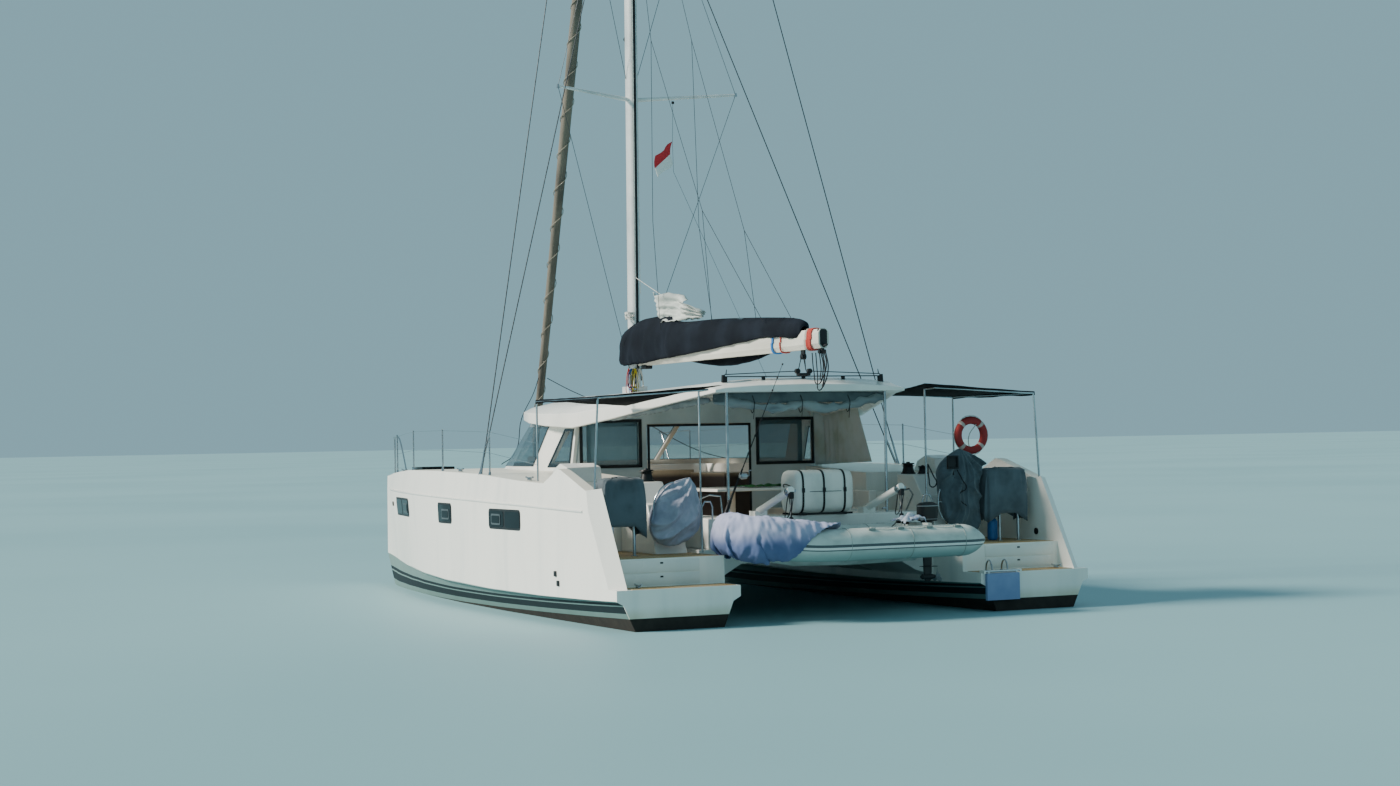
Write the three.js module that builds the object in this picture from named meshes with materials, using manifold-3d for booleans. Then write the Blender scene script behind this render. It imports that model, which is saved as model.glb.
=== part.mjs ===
// Twelve-metre cruising catamaran, in millimetres: x forward, y to port, z up from the waterline.
// Places along the boat are measured from the transom, and the whole boat is then moved aft by
// ORIGIN_FROM_STERN, so that the part's origin lies on the waterline amidships.
import * as THREE from "three";
import { mergeVertices } from "three/addons/utils/BufferGeometryUtils.js";
import Module from "manifold-3d";

const wasm = await Module();
wasm.setup();

// Driving dimensions
const ORIGIN_FROM_STERN = 6000;
const GAP = 0.3; // between pieces that touch
const PLATFORM_Z = 510;
const HELM_DECK_Z = 860;
const SOLE_Z = 900; // cockpit and saloon floor
const HULL_INNER_Y = 1750; // flat inner wall of each hull, where the bridgedeck butts
const NACELLE_AFT_X = 1200;
const NACELLE_FRONT_X = 8950;
const BULKHEAD_X = 4840;
const WELL_FRONT_X = 2400;
const RISER_X = 450;
const BEAM_X = 11580;
const BEAM_Z = 1640;
const MAST_FOOT_X = 7160;
const MAST_FOOT_Z = 3075;
const MAST_TOP_Z = 19000;
const MAST_RAKE = THREE.MathUtils.degToRad(1);
const CHAINPLATE_X = 4880;
const CHAINPLATE_Y = 3375;
const CAP_SHROUD_Z = 17700;
const LOWER_SHROUD_Z = 12150;
const FORESTAY_Z = 16600;
const FORESTAY_FOOT = [11640, 0, 1800];
const GOOSENECK = [6960, 3600]; // x, z
const GOOSENECK_PIN = 12;
const BOOM_END_X = 950;
const DINGHY_X = 400;
const DINGHY_Z = 960;
const RUDDER_X = 1050;
const RUDDER_TOP_Z = -430;
const DRIVE_X = 2050;
const WHEEL_Y = 2110;
const WHEEL_Z = 1385;
const HATCH_X = 9600;
const HATCH_HALF = 270;

// Colours: name, colour, roughness, metalness
const FINISHES = {
  gelcoat: ["#e9e8e3", 0.35, 0],
  antifouling: ["#2d2522", 0.9, 0],
  smoked: ["#1d2a30", 0.1, 0],
  alloy: ["#c9ccce", 0.4, 0.8],
  steel: ["#b9bdc0", 0.25, 1],
  slate: ["#4b5157", 0.95, 0],
  navy: ["#23272d", 0.95, 0],
  canvas: ["#15171a", 0.95, 0],
  uvstrip: ["#6f665c", 0.95, 0],
  lavender: ["#8f93b5", 0.9, 0],
  tubefabric: ["#c3c8c9", 0.6, 0],
  orange: ["#d0483b", 0.8, 0],
  teak: ["#b08a5c", 0.8, 0],
  black: ["#17181a", 0.6, 0.1],
  net: ["#30343a", 0.95, 0],
};

const boat = new THREE.Group();
boat.position.x = -ORIGIN_FROM_STERN;

function finish(name) {
  const [color, roughness, metalness] = FINISHES[name];
  return new THREE.MeshStandardMaterial({ color, roughness, metalness });
}

// A closed three.js geometry as a solid that can be joined and cut.
function solidOf(geometry) {
  const bare = geometry.clone();
  bare.deleteAttribute("normal");
  bare.deleteAttribute("uv");
  const merged = mergeVertices(bare, 1e-3);
  const corners = merged.index.array;
  const kept = [];
  for (let i = 0; i < corners.length; i += 3) {
    const [a, b, c] = [corners[i], corners[i + 1], corners[i + 2]];
    if (a !== b && b !== c && a !== c) kept.push(a, b, c);
  }
  return new wasm.Manifold(
    new wasm.Mesh({
      numProp: 3,
      vertProperties: merged.attributes.position.array,
      triVerts: new Uint32Array(kept),
    }),
  );
}

function geometryOf(solid) {
  const mesh = solid.getMesh();
  const geometry = new THREE.BufferGeometry();
  geometry.setAttribute("position", new THREE.BufferAttribute(mesh.vertProperties, 3));
  geometry.setIndex(new THREE.BufferAttribute(mesh.triVerts, 1));
  geometry.computeVertexNormals();
  return geometry;
}

const joined = (...solids) => solids.reduce((sum, next) => sum.add(next));
const cut = (solid, ...tools) => tools.reduce((left, tool) => left.subtract(tool), solid);

// Adds a named mesh to the boat.
function place(name, solid, finishName) {
  const mesh = new THREE.Mesh(geometryOf(solid), finish(finishName));
  mesh.name = name;
  boat.add(mesh);
  return mesh;
}

// Adds a port piece and its mirrored twin to starboard.
function placePair(name, solid, finishName) {
  place(name + "_port", solid, finishName);
  place(name + "_starboard", solid, finishName).scale.y = -1;
}

const mirrored = (solid) => solid.mirror([0, 1, 0]);

function block(x0, x1, y0, y1, z0, z1) {
  const geometry = new THREE.BoxGeometry(x1 - x0, y1 - y0, z1 - z0);
  geometry.translate((x0 + x1) / 2, (y0 + y1) / 2, (z0 + z1) / 2);
  return solidOf(geometry);
}

// An outline in one plane, drawn out along the third axis between two places.
function slab(plane, outline, from, to) {
  const shape = new THREE.Shape(outline.map(([u, v]) => new THREE.Vector2(u, v)));
  const geometry = new THREE.ExtrudeGeometry(shape, { depth: to - from, bevelEnabled: false });
  const turn = new THREE.Matrix4();
  if (plane === "xz") turn.set(1, 0, 0, 0, 0, 0, -1, to, 0, 1, 0, 0, 0, 0, 0, 1);
  if (plane === "yz") turn.set(0, 0, 1, from, 1, 0, 0, 0, 0, 1, 0, 0, 0, 0, 0, 1);
  if (plane === "xy") turn.makeTranslation(0, 0, from);
  return solidOf(geometry.applyMatrix4(turn));
}

// A round bar between two points.
function rod(a, b, radius, sides = 8, endRadius = radius) {
  const start = new THREE.Vector3(...a);
  const along = new THREE.Vector3(...b).sub(start);
  const geometry = new THREE.CylinderGeometry(endRadius, radius, along.length(), sides);
  geometry.translate(0, along.length() / 2, 0);
  const turn = new THREE.Quaternion();
  turn.setFromUnitVectors(new THREE.Vector3(0, 1, 0), along.clone().normalize());
  geometry.applyQuaternion(turn);
  geometry.translate(...a);
  return solidOf(geometry);
}

// A tube bent at each inner point, with a ball at every bend.
function bentTube(points, radius, sides = 8) {
  const parts = points.slice(1).map((point, i) => rod(points[i], point, radius, sides));
  points.slice(1, -1).forEach((point) => {
    const ball = new THREE.SphereGeometry(radius * 1.02, sides, 6);
    parts.push(solidOf(ball.translate(...point)));
  });
  return joined(...parts);
}

// A round tube along points [x, y, z, radius] of a path that lies nearly level.
function sweep(path, sides) {
  const rings = path.map(([x, y, z, radius], i) => {
    const before = path[Math.max(0, i - 1)];
    const after = path[Math.min(path.length - 1, i + 1)];
    const along = new THREE.Vector3(after[0] - before[0], after[1] - before[1], after[2] - before[2]);
    const side = along.normalize().clone().cross(new THREE.Vector3(0, 0, 1)).normalize();
    const up = side.clone().cross(along);
    return Array.from({ length: sides }, (_, k) => {
      const angle = (2 * Math.PI * (k + 0.5)) / sides;
      const offset = side.clone().multiplyScalar(radius * Math.cos(angle));
      offset.addScaledVector(up, radius * Math.sin(angle));
      return [x + offset.x, y + offset.y, z + offset.z];
    });
  });
  return loft(rings);
}

// A closed skin through rings of points, with flat ends. Every ring has the same number of points.
function loft(rings) {
  const count = rings[0].length;
  const index = [];
  for (let r = 0; r + 1 < rings.length; r++) {
    for (let i = 0; i < count; i++) {
      const j = (i + 1) % count;
      const [a, b] = [r * count + i, r * count + j];
      index.push(a, b, b + count, a, b + count, a + count);
    }
  }
  [0, rings.length - 1].forEach((r) => {
    const flat = flattened(rings[r]);
    const turn = Math.sign(THREE.ShapeUtils.area(flat)) * (r === 0 ? -1 : 1);
    THREE.ShapeUtils.triangulateShape(flat.slice(), []).forEach((corners) => {
      const way = Math.sign(THREE.ShapeUtils.area(corners.map((i) => flat[i])));
      const face = corners.map((i) => r * count + i);
      index.push(...(way === turn ? face : face.reverse()));
    });
  });
  const geometry = new THREE.BufferGeometry();
  geometry.setAttribute("position", new THREE.Float32BufferAttribute(rings.flat(2), 3));
  geometry.setIndex(facingOut(rings.flat(), index));
  return solidOf(geometry);
}

// A ring's points on the coordinate plane where it covers the most.
function flattened(ring) {
  const views = [0, 1, 2].map((drop) =>
    ring.map((point) => new THREE.Vector2(point[(drop + 1) % 3], point[(drop + 2) % 3])),
  );
  const area = (view) => Math.abs(THREE.ShapeUtils.area(view));
  return views.reduce((best, view) => (area(view) > area(best) ? view : best));
}

function facingOut(points, index) {
  let volume = 0;
  for (let i = 0; i < index.length; i += 3) {
    const [a, b, c] = [0, 1, 2].map((k) => new THREE.Vector3(...points[index[i + k]]));
    volume += a.dot(b.cross(c));
  }
  return volume < 0 ? index.slice().reverse() : index;
}

const HULL_STATIONS = [
  // x, chine y, knuckle y, centre y, waterline half-beam, depth, inner y, chine z, knuckle z, stem rake
  [0, 3420, 3420, 2580, 600, 110, HULL_INNER_Y, 1430, 375, 0],
  [1000, 3440, 3435, 2575, 625, 230, HULL_INNER_Y, 1455, 355, 0],
  [2500, 3455, 3445, 2560, 650, 400, HULL_INNER_Y, 1470, 330, 0],
  [4500, 3455, 3440, 2545, 660, 520, HULL_INNER_Y, 1490, 325, 0],
  [6500, 3400, 3375, 2520, 620, 560, HULL_INNER_Y, 1520, 350, 0],
  [8000, 3280, 3225, 2500, 530, 520, HULL_INNER_Y, 1545, 385, 0],
  [8950, 3155, 3070, 2495, 445, 470, HULL_INNER_Y, 1560, 415, 0],
  [10000, 2975, 2865, 2490, 330, 390, 1930, 1575, 450, 0],
  [11000, 2755, 2665, 2490, 190, 290, 2190, 1590, 485, 60],
  [11600, 2600, 2560, 2490, 90, 200, 2380, 1600, 500, 220],
  [11950, 2520, 2516, 2490, 26, 120, 2464, 1600, 510, 330],
];
const HULL_TOP_Z = 2200;

function hullRing([x, chineY, knuckleY, midY, half, depth, innerY, chineZ, knuckleZ, rake]) {
  const outStep = 85 * Math.min(1, Math.max(0, (knuckleY - midY - half) / 240));
  const inStep = 100 * Math.min(1, Math.max(0, (midY - half - innerY) / 220));
  const tumble = Math.min(95, (chineY - innerY) * 0.3);
  return [
    [x - 20, chineY - tumble, HULL_TOP_Z],
    [x, chineY, chineZ],
    [x + rake * 0.1, knuckleY, knuckleZ],
    [x, knuckleY - outStep, knuckleZ - 45],
    [x - rake, midY + half, 0],
    [x - rake * 1.3, midY + half * 0.62, -depth * 0.7],
    [x - rake * 1.6, midY, -depth],
    [x - rake * 1.3, midY - half * 0.62, -depth * 0.7],
    [x - rake, midY - half, 0],
    [x, innerY + inStep, knuckleZ - 55],
    [x + rake * 0.1, innerY, knuckleZ],
    [x - 20, innerY, HULL_TOP_Z],
  ];
}

// Height of the deck edge along the boat, with the wing that falls to the platform at its aft end.
const DECK_EDGE = [
  [40, PLATFORM_Z],
  [400, 1320],
  [610, 1550],
  [820, 1735],
  [970, 1710],
  [1850, 1965],
  [1960, 1980],
  [2400, 1790],
  [3350, 1820],
  [5000, 1900],
  [7000, 1930],
  [9000, 1930],
  [11000, 1860],
  [12100, 1800],
];

function deckHeight(x) {
  const last = DECK_EDGE.findIndex(([place]) => place >= x);
  const [[x0, z0], [x1, z1]] = [DECK_EDGE[last - 1], DECK_EDGE[last]];
  return z0 + ((z1 - z0) * (x - x0)) / (x1 - x0);
}

const WING_Y = 3250; // inner face of the wing beside the platform and the helm deck

// Hull solid up to the deck, with the stern platform, the helm well and the chamfered wing cut in.
function hull() {
  const body = loft(HULL_STATIONS.map(hullRing));
  const above = slab("xz", [[-500, PLATFORM_Z], ...DECK_EDGE, [12600, 1800], [12600, 3000], [-500, 3000]], 1000, 4000);
  const platform = block(-500, RISER_X, 1000, WING_Y, PLATFORM_Z, 3000);
  const well = block(RISER_X - 1, WELL_FRONT_X, 1000, WING_Y, HELM_DECK_Z, 3000);
  const steps = joined(
    block(WELL_FRONT_X - 1, WELL_FRONT_X + 300, 1000, 2350, 1210, 3000),
    block(WELL_FRONT_X + 299, WELL_FRONT_X + 600, 1000, 2350, 1540, 3000),
  );
  const chamfer = loft([
    [[-400, 3600, PLATFORM_Z], [280, 3460, PLATFORM_Z], [60, WING_Y - 10, PLATFORM_Z], [-400, WING_Y - 10, PLATFORM_Z]],
    [[400, 3600, 1850], [1080, 3460, 1850], [880, WING_Y - 10, 1850], [400, WING_Y - 10, 1850]],
  ]);
  const rudderBoss = joined(
    rod([RUDDER_X, 2575, RUDDER_TOP_Z], [RUDDER_X, 2575, -100], 75, 16),
    rod([DRIVE_X, 2565, -460], [DRIVE_X, 2565, -150], 130, 16),
  );
  return joined(cut(body, above, platform, well, steps, chamfer), rudderBoss);
}

// Foil section in plan: x measured aft from the leading edge as a share of the chord.
const FOIL = [
  [0, 0],
  [0.05, 0.32],
  [0.2, 0.48],
  [0.45, 0.46],
  [0.75, 0.24],
  [1, 0.04],
];

// A foil ring with its leading edge at leadX, in the plane at height z.
function foilRing(leadX, chord, thick, midY, z) {
  const upper = FOIL.map(([s, t]) => [leadX - s * chord, midY + t * thick, z]);
  const lower = FOIL.slice(1).reverse().map(([s, t]) => [leadX - s * chord, midY - t * thick, z]);
  return [...upper, ...lower];
}

function keel(hullSolid) {
  const fin = loft([
    foilRing(7050, 2750, 330, 2535, -200),
    foilRing(6900, 2400, 300, 2535, -900),
    foilRing(6750, 2150, 260, 2535, -1350),
  ]);
  return cut(fin, hullSolid.translate([0, 0, -GAP]));
}

function rudder() {
  const blade = loft([
    foilRing(RUDDER_X + 120, 470, 75, 2575, RUDDER_TOP_Z - 30),
    foilRing(RUDDER_X + 90, 380, 55, 2575, -1150),
  ]);
  const stock = rod([RUDDER_X, 2575, RUDDER_TOP_Z - 100], [RUDDER_X, 2575, RUDDER_TOP_Z - GAP], 28, 12);
  return joined(blade, stock);
}

function saildrive() {
  const leg = loft([foilRing(DRIVE_X + 90, 230, 110, 2565, -460 - GAP), foilRing(DRIVE_X + 70, 190, 90, 2565, -760)]);
  const profile = [
    [0, -170],
    [30, -160],
    [58, -80],
    [62, 40],
    [45, 130],
    [0, 150],
  ];
  const bullet = new THREE.LatheGeometry(profile.map(([r, h]) => new THREE.Vector2(r, h)), 16);
  bullet.rotateZ(-Math.PI / 2).translate(DRIVE_X - 20, 2565, -780);
  const shaft = rod([DRIVE_X - 180, 2565, -780], [DRIVE_X - 200 + GAP, 2565, -780], 14, 12);
  return joined(leg, solidOf(bullet), shaft);
}

// Hub with twisted blades, turning about the x axis through the origin.
function propeller(radius, hubRadius, hubLength, blades) {
  const hub = rod([-hubLength / 2, 0, 0], [hubLength / 2, 0, 0], hubRadius, 16, hubRadius * 0.75);
  const bladeStations = [
    // share of radius, half chord, half thickness, twist in degrees
    [0.1, 0.16, 0.035, 60],
    [0.45, 0.26, 0.022, 42],
    [0.8, 0.24, 0.014, 30],
    [1, 0.08, 0.008, 26],
  ];
  const rings = bladeStations.map(([share, chord, thick, twist]) => {
    const angle = THREE.MathUtils.degToRad(twist);
    return [
      [-1, -1],
      [1, -1],
      [1, 1],
      [-1, 1],
    ].map(([c, t]) => {
      const [along, across] = [c * chord * radius, t * thick * radius];
      const x = along * Math.sin(angle) + across * Math.cos(angle);
      const y = along * Math.cos(angle) - across * Math.sin(angle);
      return [x, y, share * radius];
    });
  });
  const blade = loft(rings);
  const turned = Array.from({ length: blades }, (_, i) => blade.rotate([(i * 360) / blades, 0, 0]));
  return joined(hub, ...turned);
}

// Bridgedeck: saloon and cockpit floor, with the wedge-shaped front under the windscreen.
function bridgedeck() {
  const profile = [
    [NACELLE_AFT_X, 700],
    [7600, 710],
    [8400, 800],
    [8800, 1120],
    [NACELLE_FRONT_X, 1480],
    [NACELLE_FRONT_X, 1929],
    [8300, 1929],
    [8250, SOLE_Z],
    [NACELLE_AFT_X, SOLE_Z],
  ];
  const side = HULL_INNER_Y - GAP;
  const floor = slab("xz", profile, -side, side);
  const fillet = slab("yz", [[1140, 701], [1460, 520], [side, 420], [side, 720], [1140, 720]], NACELLE_AFT_X, 8300);
  const front = slab("xz", [[7600, 300], [8250, 780], [8440, 1200], [9300, 1200], [9300, 300]], 1000, 2000);
  const trimmedFillet = cut(fillet, front);
  return joined(floor, trimmedFillet, mirrored(trimmedFillet));
}

// Cabin outline in plan, port half, from the aft bulkhead forward to the centreline.
const HOUSE_FOOT = [
  [BULKHEAD_X, 2020],
  [6000, 2140],
  [7000, 2120],
  [7750, 1960],
  [8250, 1600],
  [8600, 900],
  [8700, 0],
];
const HOUSE_HEAD = [
  [BULKHEAD_X, 1920],
  [5600, 2000],
  [6300, 1980],
  [6900, 1800],
  [7300, 1400],
  [7500, 800],
  [7560, 0],
];
const HOUSE_FOOT_Z = 1850;
const HOUSE_HEAD_Z = 2900;
const HEAD_REF_Z = 2660;
const WALL = 60;

// The cabin's outer outline at height z, moved out by an amount, as a closed ring.
function houseRing(z, outward) {
  const share = (z - 1930) / (HEAD_REF_Z - 1930);
  const half = HOUSE_FOOT.map(([x, y], i) => {
    const [hx, hy] = HOUSE_HEAD[i];
    return [x + (hx - x) * share, y + (hy - y) * share];
  });
  const moved = half.map(([x, y], i) => {
    const [ax, ay] = half[Math.max(0, i - 1)];
    const next = i + 1 < half.length ? half[i + 1] : [ax, -ay];
    const normal = new THREE.Vector2(ay - next[1], next[0] - ax).normalize();
    const aft = i === 0 ? 0 : normal.x * outward;
    return [x + aft, y + normal.y * outward];
  });
  const port = moved.map(([x, y]) => [x, y, z]);
  const starboard = moved.slice(0, -1).reverse().map(([x, y]) => [x, -y, z]);
  return [...port, ...starboard];
}

const houseBlock = (outward) => loft([houseRing(HOUSE_FOOT_Z, outward), houseRing(HOUSE_HEAD_Z, outward)]);

// Everything below the deck, which the cabin stands on.
function belowDeck() {
  const line = DECK_EDGE.filter(([x]) => x >= 2400).map(([x, z]) => [x, z + GAP]);
  return slab("xz", [[2400, 1000], ...line, [12600, 1000]], -4000, 4000);
}

const FRONT_PANE = [
  [6110, 2010],
  [9200, 2010],
  [9200, 2560],
  [5700, 2560],
];
const SIDE_PANE = [
  [4950, 1995],
  [5540, 1995],
  [5150, 2500],
  [4950, 2500],
];

function cabinHouse(roofAbove) {
  const shell = cut(houseBlock(0), cut(houseBlock(-WALL), block(0, 4000, -4000, 4000, 0, 5000)));
  const openAft = block(BULKHEAD_X - 10, BULKHEAD_X + 20, -1955, 1955, 1000, 4000);
  const panes = [
    slab("xz", FRONT_PANE, 950, 3000),
    slab("xz", FRONT_PANE, -890, 890),
    slab("xz", FRONT_PANE, -3000, -950),
    slab("xz", SIDE_PANE, 1000, 3000),
    slab("xz", SIDE_PANE, -3000, -1000),
  ];
  return cut(shell, openAft, belowDeck(), roofAbove, ...panes);
}

// Glazing bonded over the outside of a window opening, lapping it by a margin.
function glazing(outline, from, to) {
  const sheet = cut(houseBlock(10 + GAP), houseBlock(GAP));
  return sheet.intersect(slab("xz", outline, from, to));
}

const ROOF_STATIONS = [
  // x, half-width, edge underside z, edge top z, crown z, ceiling z
  [1300, 1420, 2930, 2990, 3035, 2935],
  [1560, 1440, 2905, 3070, 3125, 2935],
  [2500, 1720, 2770, 2975, 3130, 2935],
  [3500, 1990, 2625, 2890, 3115, 2925],
  [4500, 2150, 2520, 2830, 3095, 2900],
  [5500, 2160, 2560, 2825, 3080, 2880],
  [6300, 2100, 2610, 2840, 3072, 2870],
  [6900, 1950, 2660, 2850, 3070, 2865],
  [7500, 1620, 2700, 2850, 3050, 2850],
  [7900, 1150, 2740, 2850, 2990, 2830],
  [8080, 600, 2770, 2840, 2900, 2800],
];

function roofRing([x, half, edgeLow, edgeTop, crown, ceiling]) {
  const port = [
    [0, crown],
    [half * 0.55, crown - (crown - edgeTop) * 0.3],
    [half - 140, edgeTop],
    [half, edgeTop - (edgeTop - edgeLow) * 0.35],
    [half, edgeLow],
    [half - 60, edgeLow],
    [half - 60 - half * 0.14, ceiling - (ceiling - edgeLow) * 0.25],
    [0, ceiling],
  ];
  return port.map(([y, z]) => [x, y, z]);
}

function hardtop() {
  const half = loft(ROOF_STATIONS.map(roofRing));
  return joined(half, mirrored(half));
}

// The space from the roof's underside upwards, which the walls below it are cut to.
function spaceAboveRoof() {
  const high = 4000;
  const under = ([x, half, edgeLow, , , ceiling]) => {
    const port = [
      [half + 5, high],
      [half + 5, edgeLow - GAP],
      [half - 60, edgeLow - GAP],
      [half - 60 - half * 0.14, ceiling - (ceiling - edgeLow) * 0.25 - GAP],
      [0, ceiling - GAP],
      [0, high],
    ];
    return port.map(([y, z]) => [x, y, z]);
  };
  const [first, last] = [ROOF_STATIONS[0], ROOF_STATIONS[ROOF_STATIONS.length - 1]];
  const rings = [[first[0] - 900, ...first.slice(1)], ...ROOF_STATIONS, [last[0] + 900, ...last.slice(1)]];
  const half = loft(rings.map(under));
  return joined(half, mirrored(half));
}

function aftBulkhead(roofAbove) {
  const low = HULL_INNER_Y - GAP;
  const shelf = deckHeight(BULKHEAD_X + 50) + GAP;
  const outline = [
    [-low, SOLE_Z + GAP],
    [low, SOLE_Z + GAP],
    [low, shelf],
    [1950, shelf],
    [1850, 2640],
    [1700, 2900],
    [-1700, 2900],
    [-1850, 2640],
    [-1950, shelf],
    [-low, shelf],
  ];
  const plate = slab("yz", outline, BULKHEAD_X, BULKHEAD_X + 50);
  const window = block(4000, 5500, 960, 1860, 1970, 2600);
  const doorway = block(4000, 5500, -840, 840, 960, 2560);
  return cut(plate, window, mirrored(window), doorway, roofAbove);
}

const DOOR = { width: 850, parkedY: 890, low: 925, high: 2600, x: 4920, thick: 36 };

// One sliding door leaf, glazed, on two rollers, parked behind its window.
function doorLeaf() {
  const { width, parkedY, low, high, x, thick } = DOOR;
  const [y0, y1] = [parkedY, parkedY + width];
  const frame = block(x, x + thick, y0, y1, low, high);
  const light = block(x - 50, x + 100, y0 + 60, y1 - 60, low + 90, high - 70);
  const glass = block(x + 12, x + 22, y0 + 55, y1 - 55, low + 85, high - 65);
  const rollers = [y0 + 60, y1 - 120].map((y) => block(x + 10, x + thick - 10, y, y + 60, SOLE_Z + GAP, low + 5));
  return joined(cut(frame, light), glass, ...rollers);
}

const mastX = (z) => MAST_FOOT_X - (z - MAST_FOOT_Z) * Math.tan(MAST_RAKE);
const MAST_HALF_X = 130;
const MAST_HALF_Y = 88;

function mastSection(z, scale) {
  return Array.from({ length: 16 }, (_, i) => {
    const angle = (i * Math.PI) / 8;
    return [mastX(z) + MAST_HALF_X * scale * Math.cos(angle), MAST_HALF_Y * scale * Math.sin(angle), z];
  });
}

// The forestay runs from the beam's striker to inside the mast; the last of it belongs to the mast.
const stayFoot = new THREE.Vector3(...FORESTAY_FOOT);
const stayHead = new THREE.Vector3(mastX(FORESTAY_Z) + MAST_HALF_X - 30, 0, FORESTAY_Z);
const STAY_LENGTH = stayHead.distanceTo(stayFoot);
const STAY_TANG = 180;
const onStay = (height) => stayFoot.clone().lerp(stayHead, height / STAY_LENGTH).toArray();

const SPREADERS = [
  // z, half-span, sweep
  [7640, 1486, 650],
  [12400, 1300, 560],
];

// Mast with its foot on the roof, spreaders, crane, gooseneck fork and forestay tang.
function mast(roof) {
  const [neckX, neckZ] = GOOSENECK;
  const spar = loft([mastSection(MAST_FOOT_Z + 60, 1), mastSection(17000, 1), mastSection(MAST_TOP_Z, 0.72)]);
  const foot = block(MAST_FOOT_X - 190, MAST_FOOT_X + 190, -130, 130, MAST_FOOT_Z - 60, MAST_FOOT_Z + 90);
  const plates = [neckZ - 68, neckZ + 56].map((z) => block(neckX - 26, mastX(neckZ) - 100, -25, 25, z, z + 12));
  const pin = rod([neckX, 0, neckZ - 60], [neckX, 0, neckZ + 60], GOOSENECK_PIN, 16);
  const tang = rod(onStay(STAY_LENGTH - STAY_TANG + GAP), onStay(STAY_LENGTH), 14, 12);
  const crane = block(mastX(MAST_TOP_Z) - 260, mastX(MAST_TOP_Z) + 160, -35, 35, MAST_TOP_Z - 40, MAST_TOP_Z + 25);
  const arms = SPREADERS.flatMap(([z, span, sweep]) =>
    [-1, 1].map((side) => rod([mastX(z), 0, z - 20], [mastX(z) - sweep, side * span, z + 40], 34, 8, 20)),
  );
  return joined(cut(foot, roof, roof.translate([0, 0, GAP])), spar, crane, pin, tang, ...plates, ...arms);
}

// A shroud from the chainplate to the mast's side, cut off where it meets the deck and the mast.
function shroud(footX, headZ, hullSolid, mastSolid) {
  const wire = rod([footX, CHAINPLATE_Y, 1850], [mastX(headZ), 40, headZ], 6, 6);
  return cut(wire, hullSolid.translate([0, 0, GAP]), mastSolid.translate([0, GAP, 0]));
}

// Sail rolled round the forestay, with the furling drum at its foot.
function furledHeadsail() {
  const top = STAY_LENGTH - STAY_TANG;
  const profile = [
    [0, 0],
    [28, 0],
    [28, 90],
    [115, 110],
    [115, 270],
    [30, 290],
    [30, 420],
    [62, 560],
    [78, 2500],
    [92, 7500],
    [70, 11500],
    [34, 13900],
    [14, 14100],
    [14, top],
    [0, top],
  ];
  const roll = new THREE.LatheGeometry(profile.map(([r, h]) => new THREE.Vector2(r, h)), 12);
  const turn = new THREE.Quaternion();
  turn.setFromUnitVectors(new THREE.Vector3(0, 1, 0), stayHead.clone().sub(stayFoot).normalize());
  roll.applyQuaternion(turn).translate(...FORESTAY_FOOT);
  return solidOf(roll);
}

function boomRing(x, z, halfY, halfZ) {
  const corners = [
    [-1, -0.5],
    [-0.5, -1],
    [0.5, -1],
    [1, -0.5],
    [1, 0.6],
    [0.6, 1],
    [-0.6, 1],
    [-1, 0.6],
  ];
  return corners.map(([y, h]) => [x, y * halfY, z + h * halfZ]);
}

const BOOM_HALF_Y = 78;
const BOOM_HALF_Z = 128;

function boomSpar(grow) {
  const [x, z] = GOOSENECK;
  return loft([
    boomRing(x - 60 + grow, z, BOOM_HALF_Y + grow, BOOM_HALF_Z + grow),
    boomRing(BOOM_END_X - grow, z + 20, BOOM_HALF_Y + grow, BOOM_HALF_Z + grow),
  ]);
}

function boom() {
  const [x, z] = GOOSENECK;
  const lug = block(x - 70, x + 25, -22, 22, z - 50, z + 50);
  const bore = rod([x, 0, z - 60], [x, 0, z + 60], GOOSENECK_PIN + 0.5, 16);
  return joined(boomSpar(0), cut(lug, bore));
}

const COVER_STATIONS = [
  // x, half-width, underside z, shoulder z, top z
  [1500, 95, 3720, 3820, 3895],
  [2400, 130, 3700, 3850, 3965],
  [4000, 150, 3650, 3900, 4040],
  [5350, 160, 3600, 3930, 4080],
  [5850, 165, 3560, 3980, 4190],
  [6500, 160, 3510, 3980, 4190],
  [6870, 140, 3500, 3900, 4080],
];

function sailCover() {
  const rings = COVER_STATIONS.map(([x, half, low, shoulder, top]) => [
    [x, -half * 0.8, low],
    [x, half * 0.8, low],
    [x, half, shoulder],
    [x, half * 0.45, top],
    [x, -half * 0.45, top],
    [x, -half, shoulder],
  ]);
  return cut(loft(rings), boomSpar(GAP));
}

function bowBeam(hullSolid) {
  const tube = rod([BEAM_X, -2450, BEAM_Z], [BEAM_X, 2450, BEAM_Z], 70, 12);
  const striker = rod([BEAM_X + 20, 0, BEAM_Z], [BEAM_X + 60, 0, FORESTAY_FOOT[2] - 20], 34, 8);
  const longeron = rod([NACELLE_FRONT_X + GAP, 0, BEAM_Z - 40], [BEAM_X, 0, BEAM_Z - 40], 55, 12);
  const bowsprit = rod([BEAM_X, 0, BEAM_Z - 40], [BEAM_X + 330, 0, BEAM_Z - 40], 55, 12);
  const hulls = hullSolid.translate([0, -GAP, 0]);
  return cut(joined(tube, striker, longeron, bowsprit), hulls, mirrored(hulls));
}

function trampoline() {
  const outline = [
    [NACELLE_FRONT_X + GAP, 120],
    [NACELLE_FRONT_X + GAP, 1730],
    [10000, 1905],
    [11000, 2165],
    [BEAM_X - 120, 2325],
    [BEAM_X - 70 - GAP, 120],
  ];
  return slab("xy", outline, BEAM_Z - 20, BEAM_Z - 8);
}

const BIMINI = { front: 3040, aft: 930, outer: 3235, aftFootY: 3300, outerZ: 2870, innerZ: 2985, tube: 14 };

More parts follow.
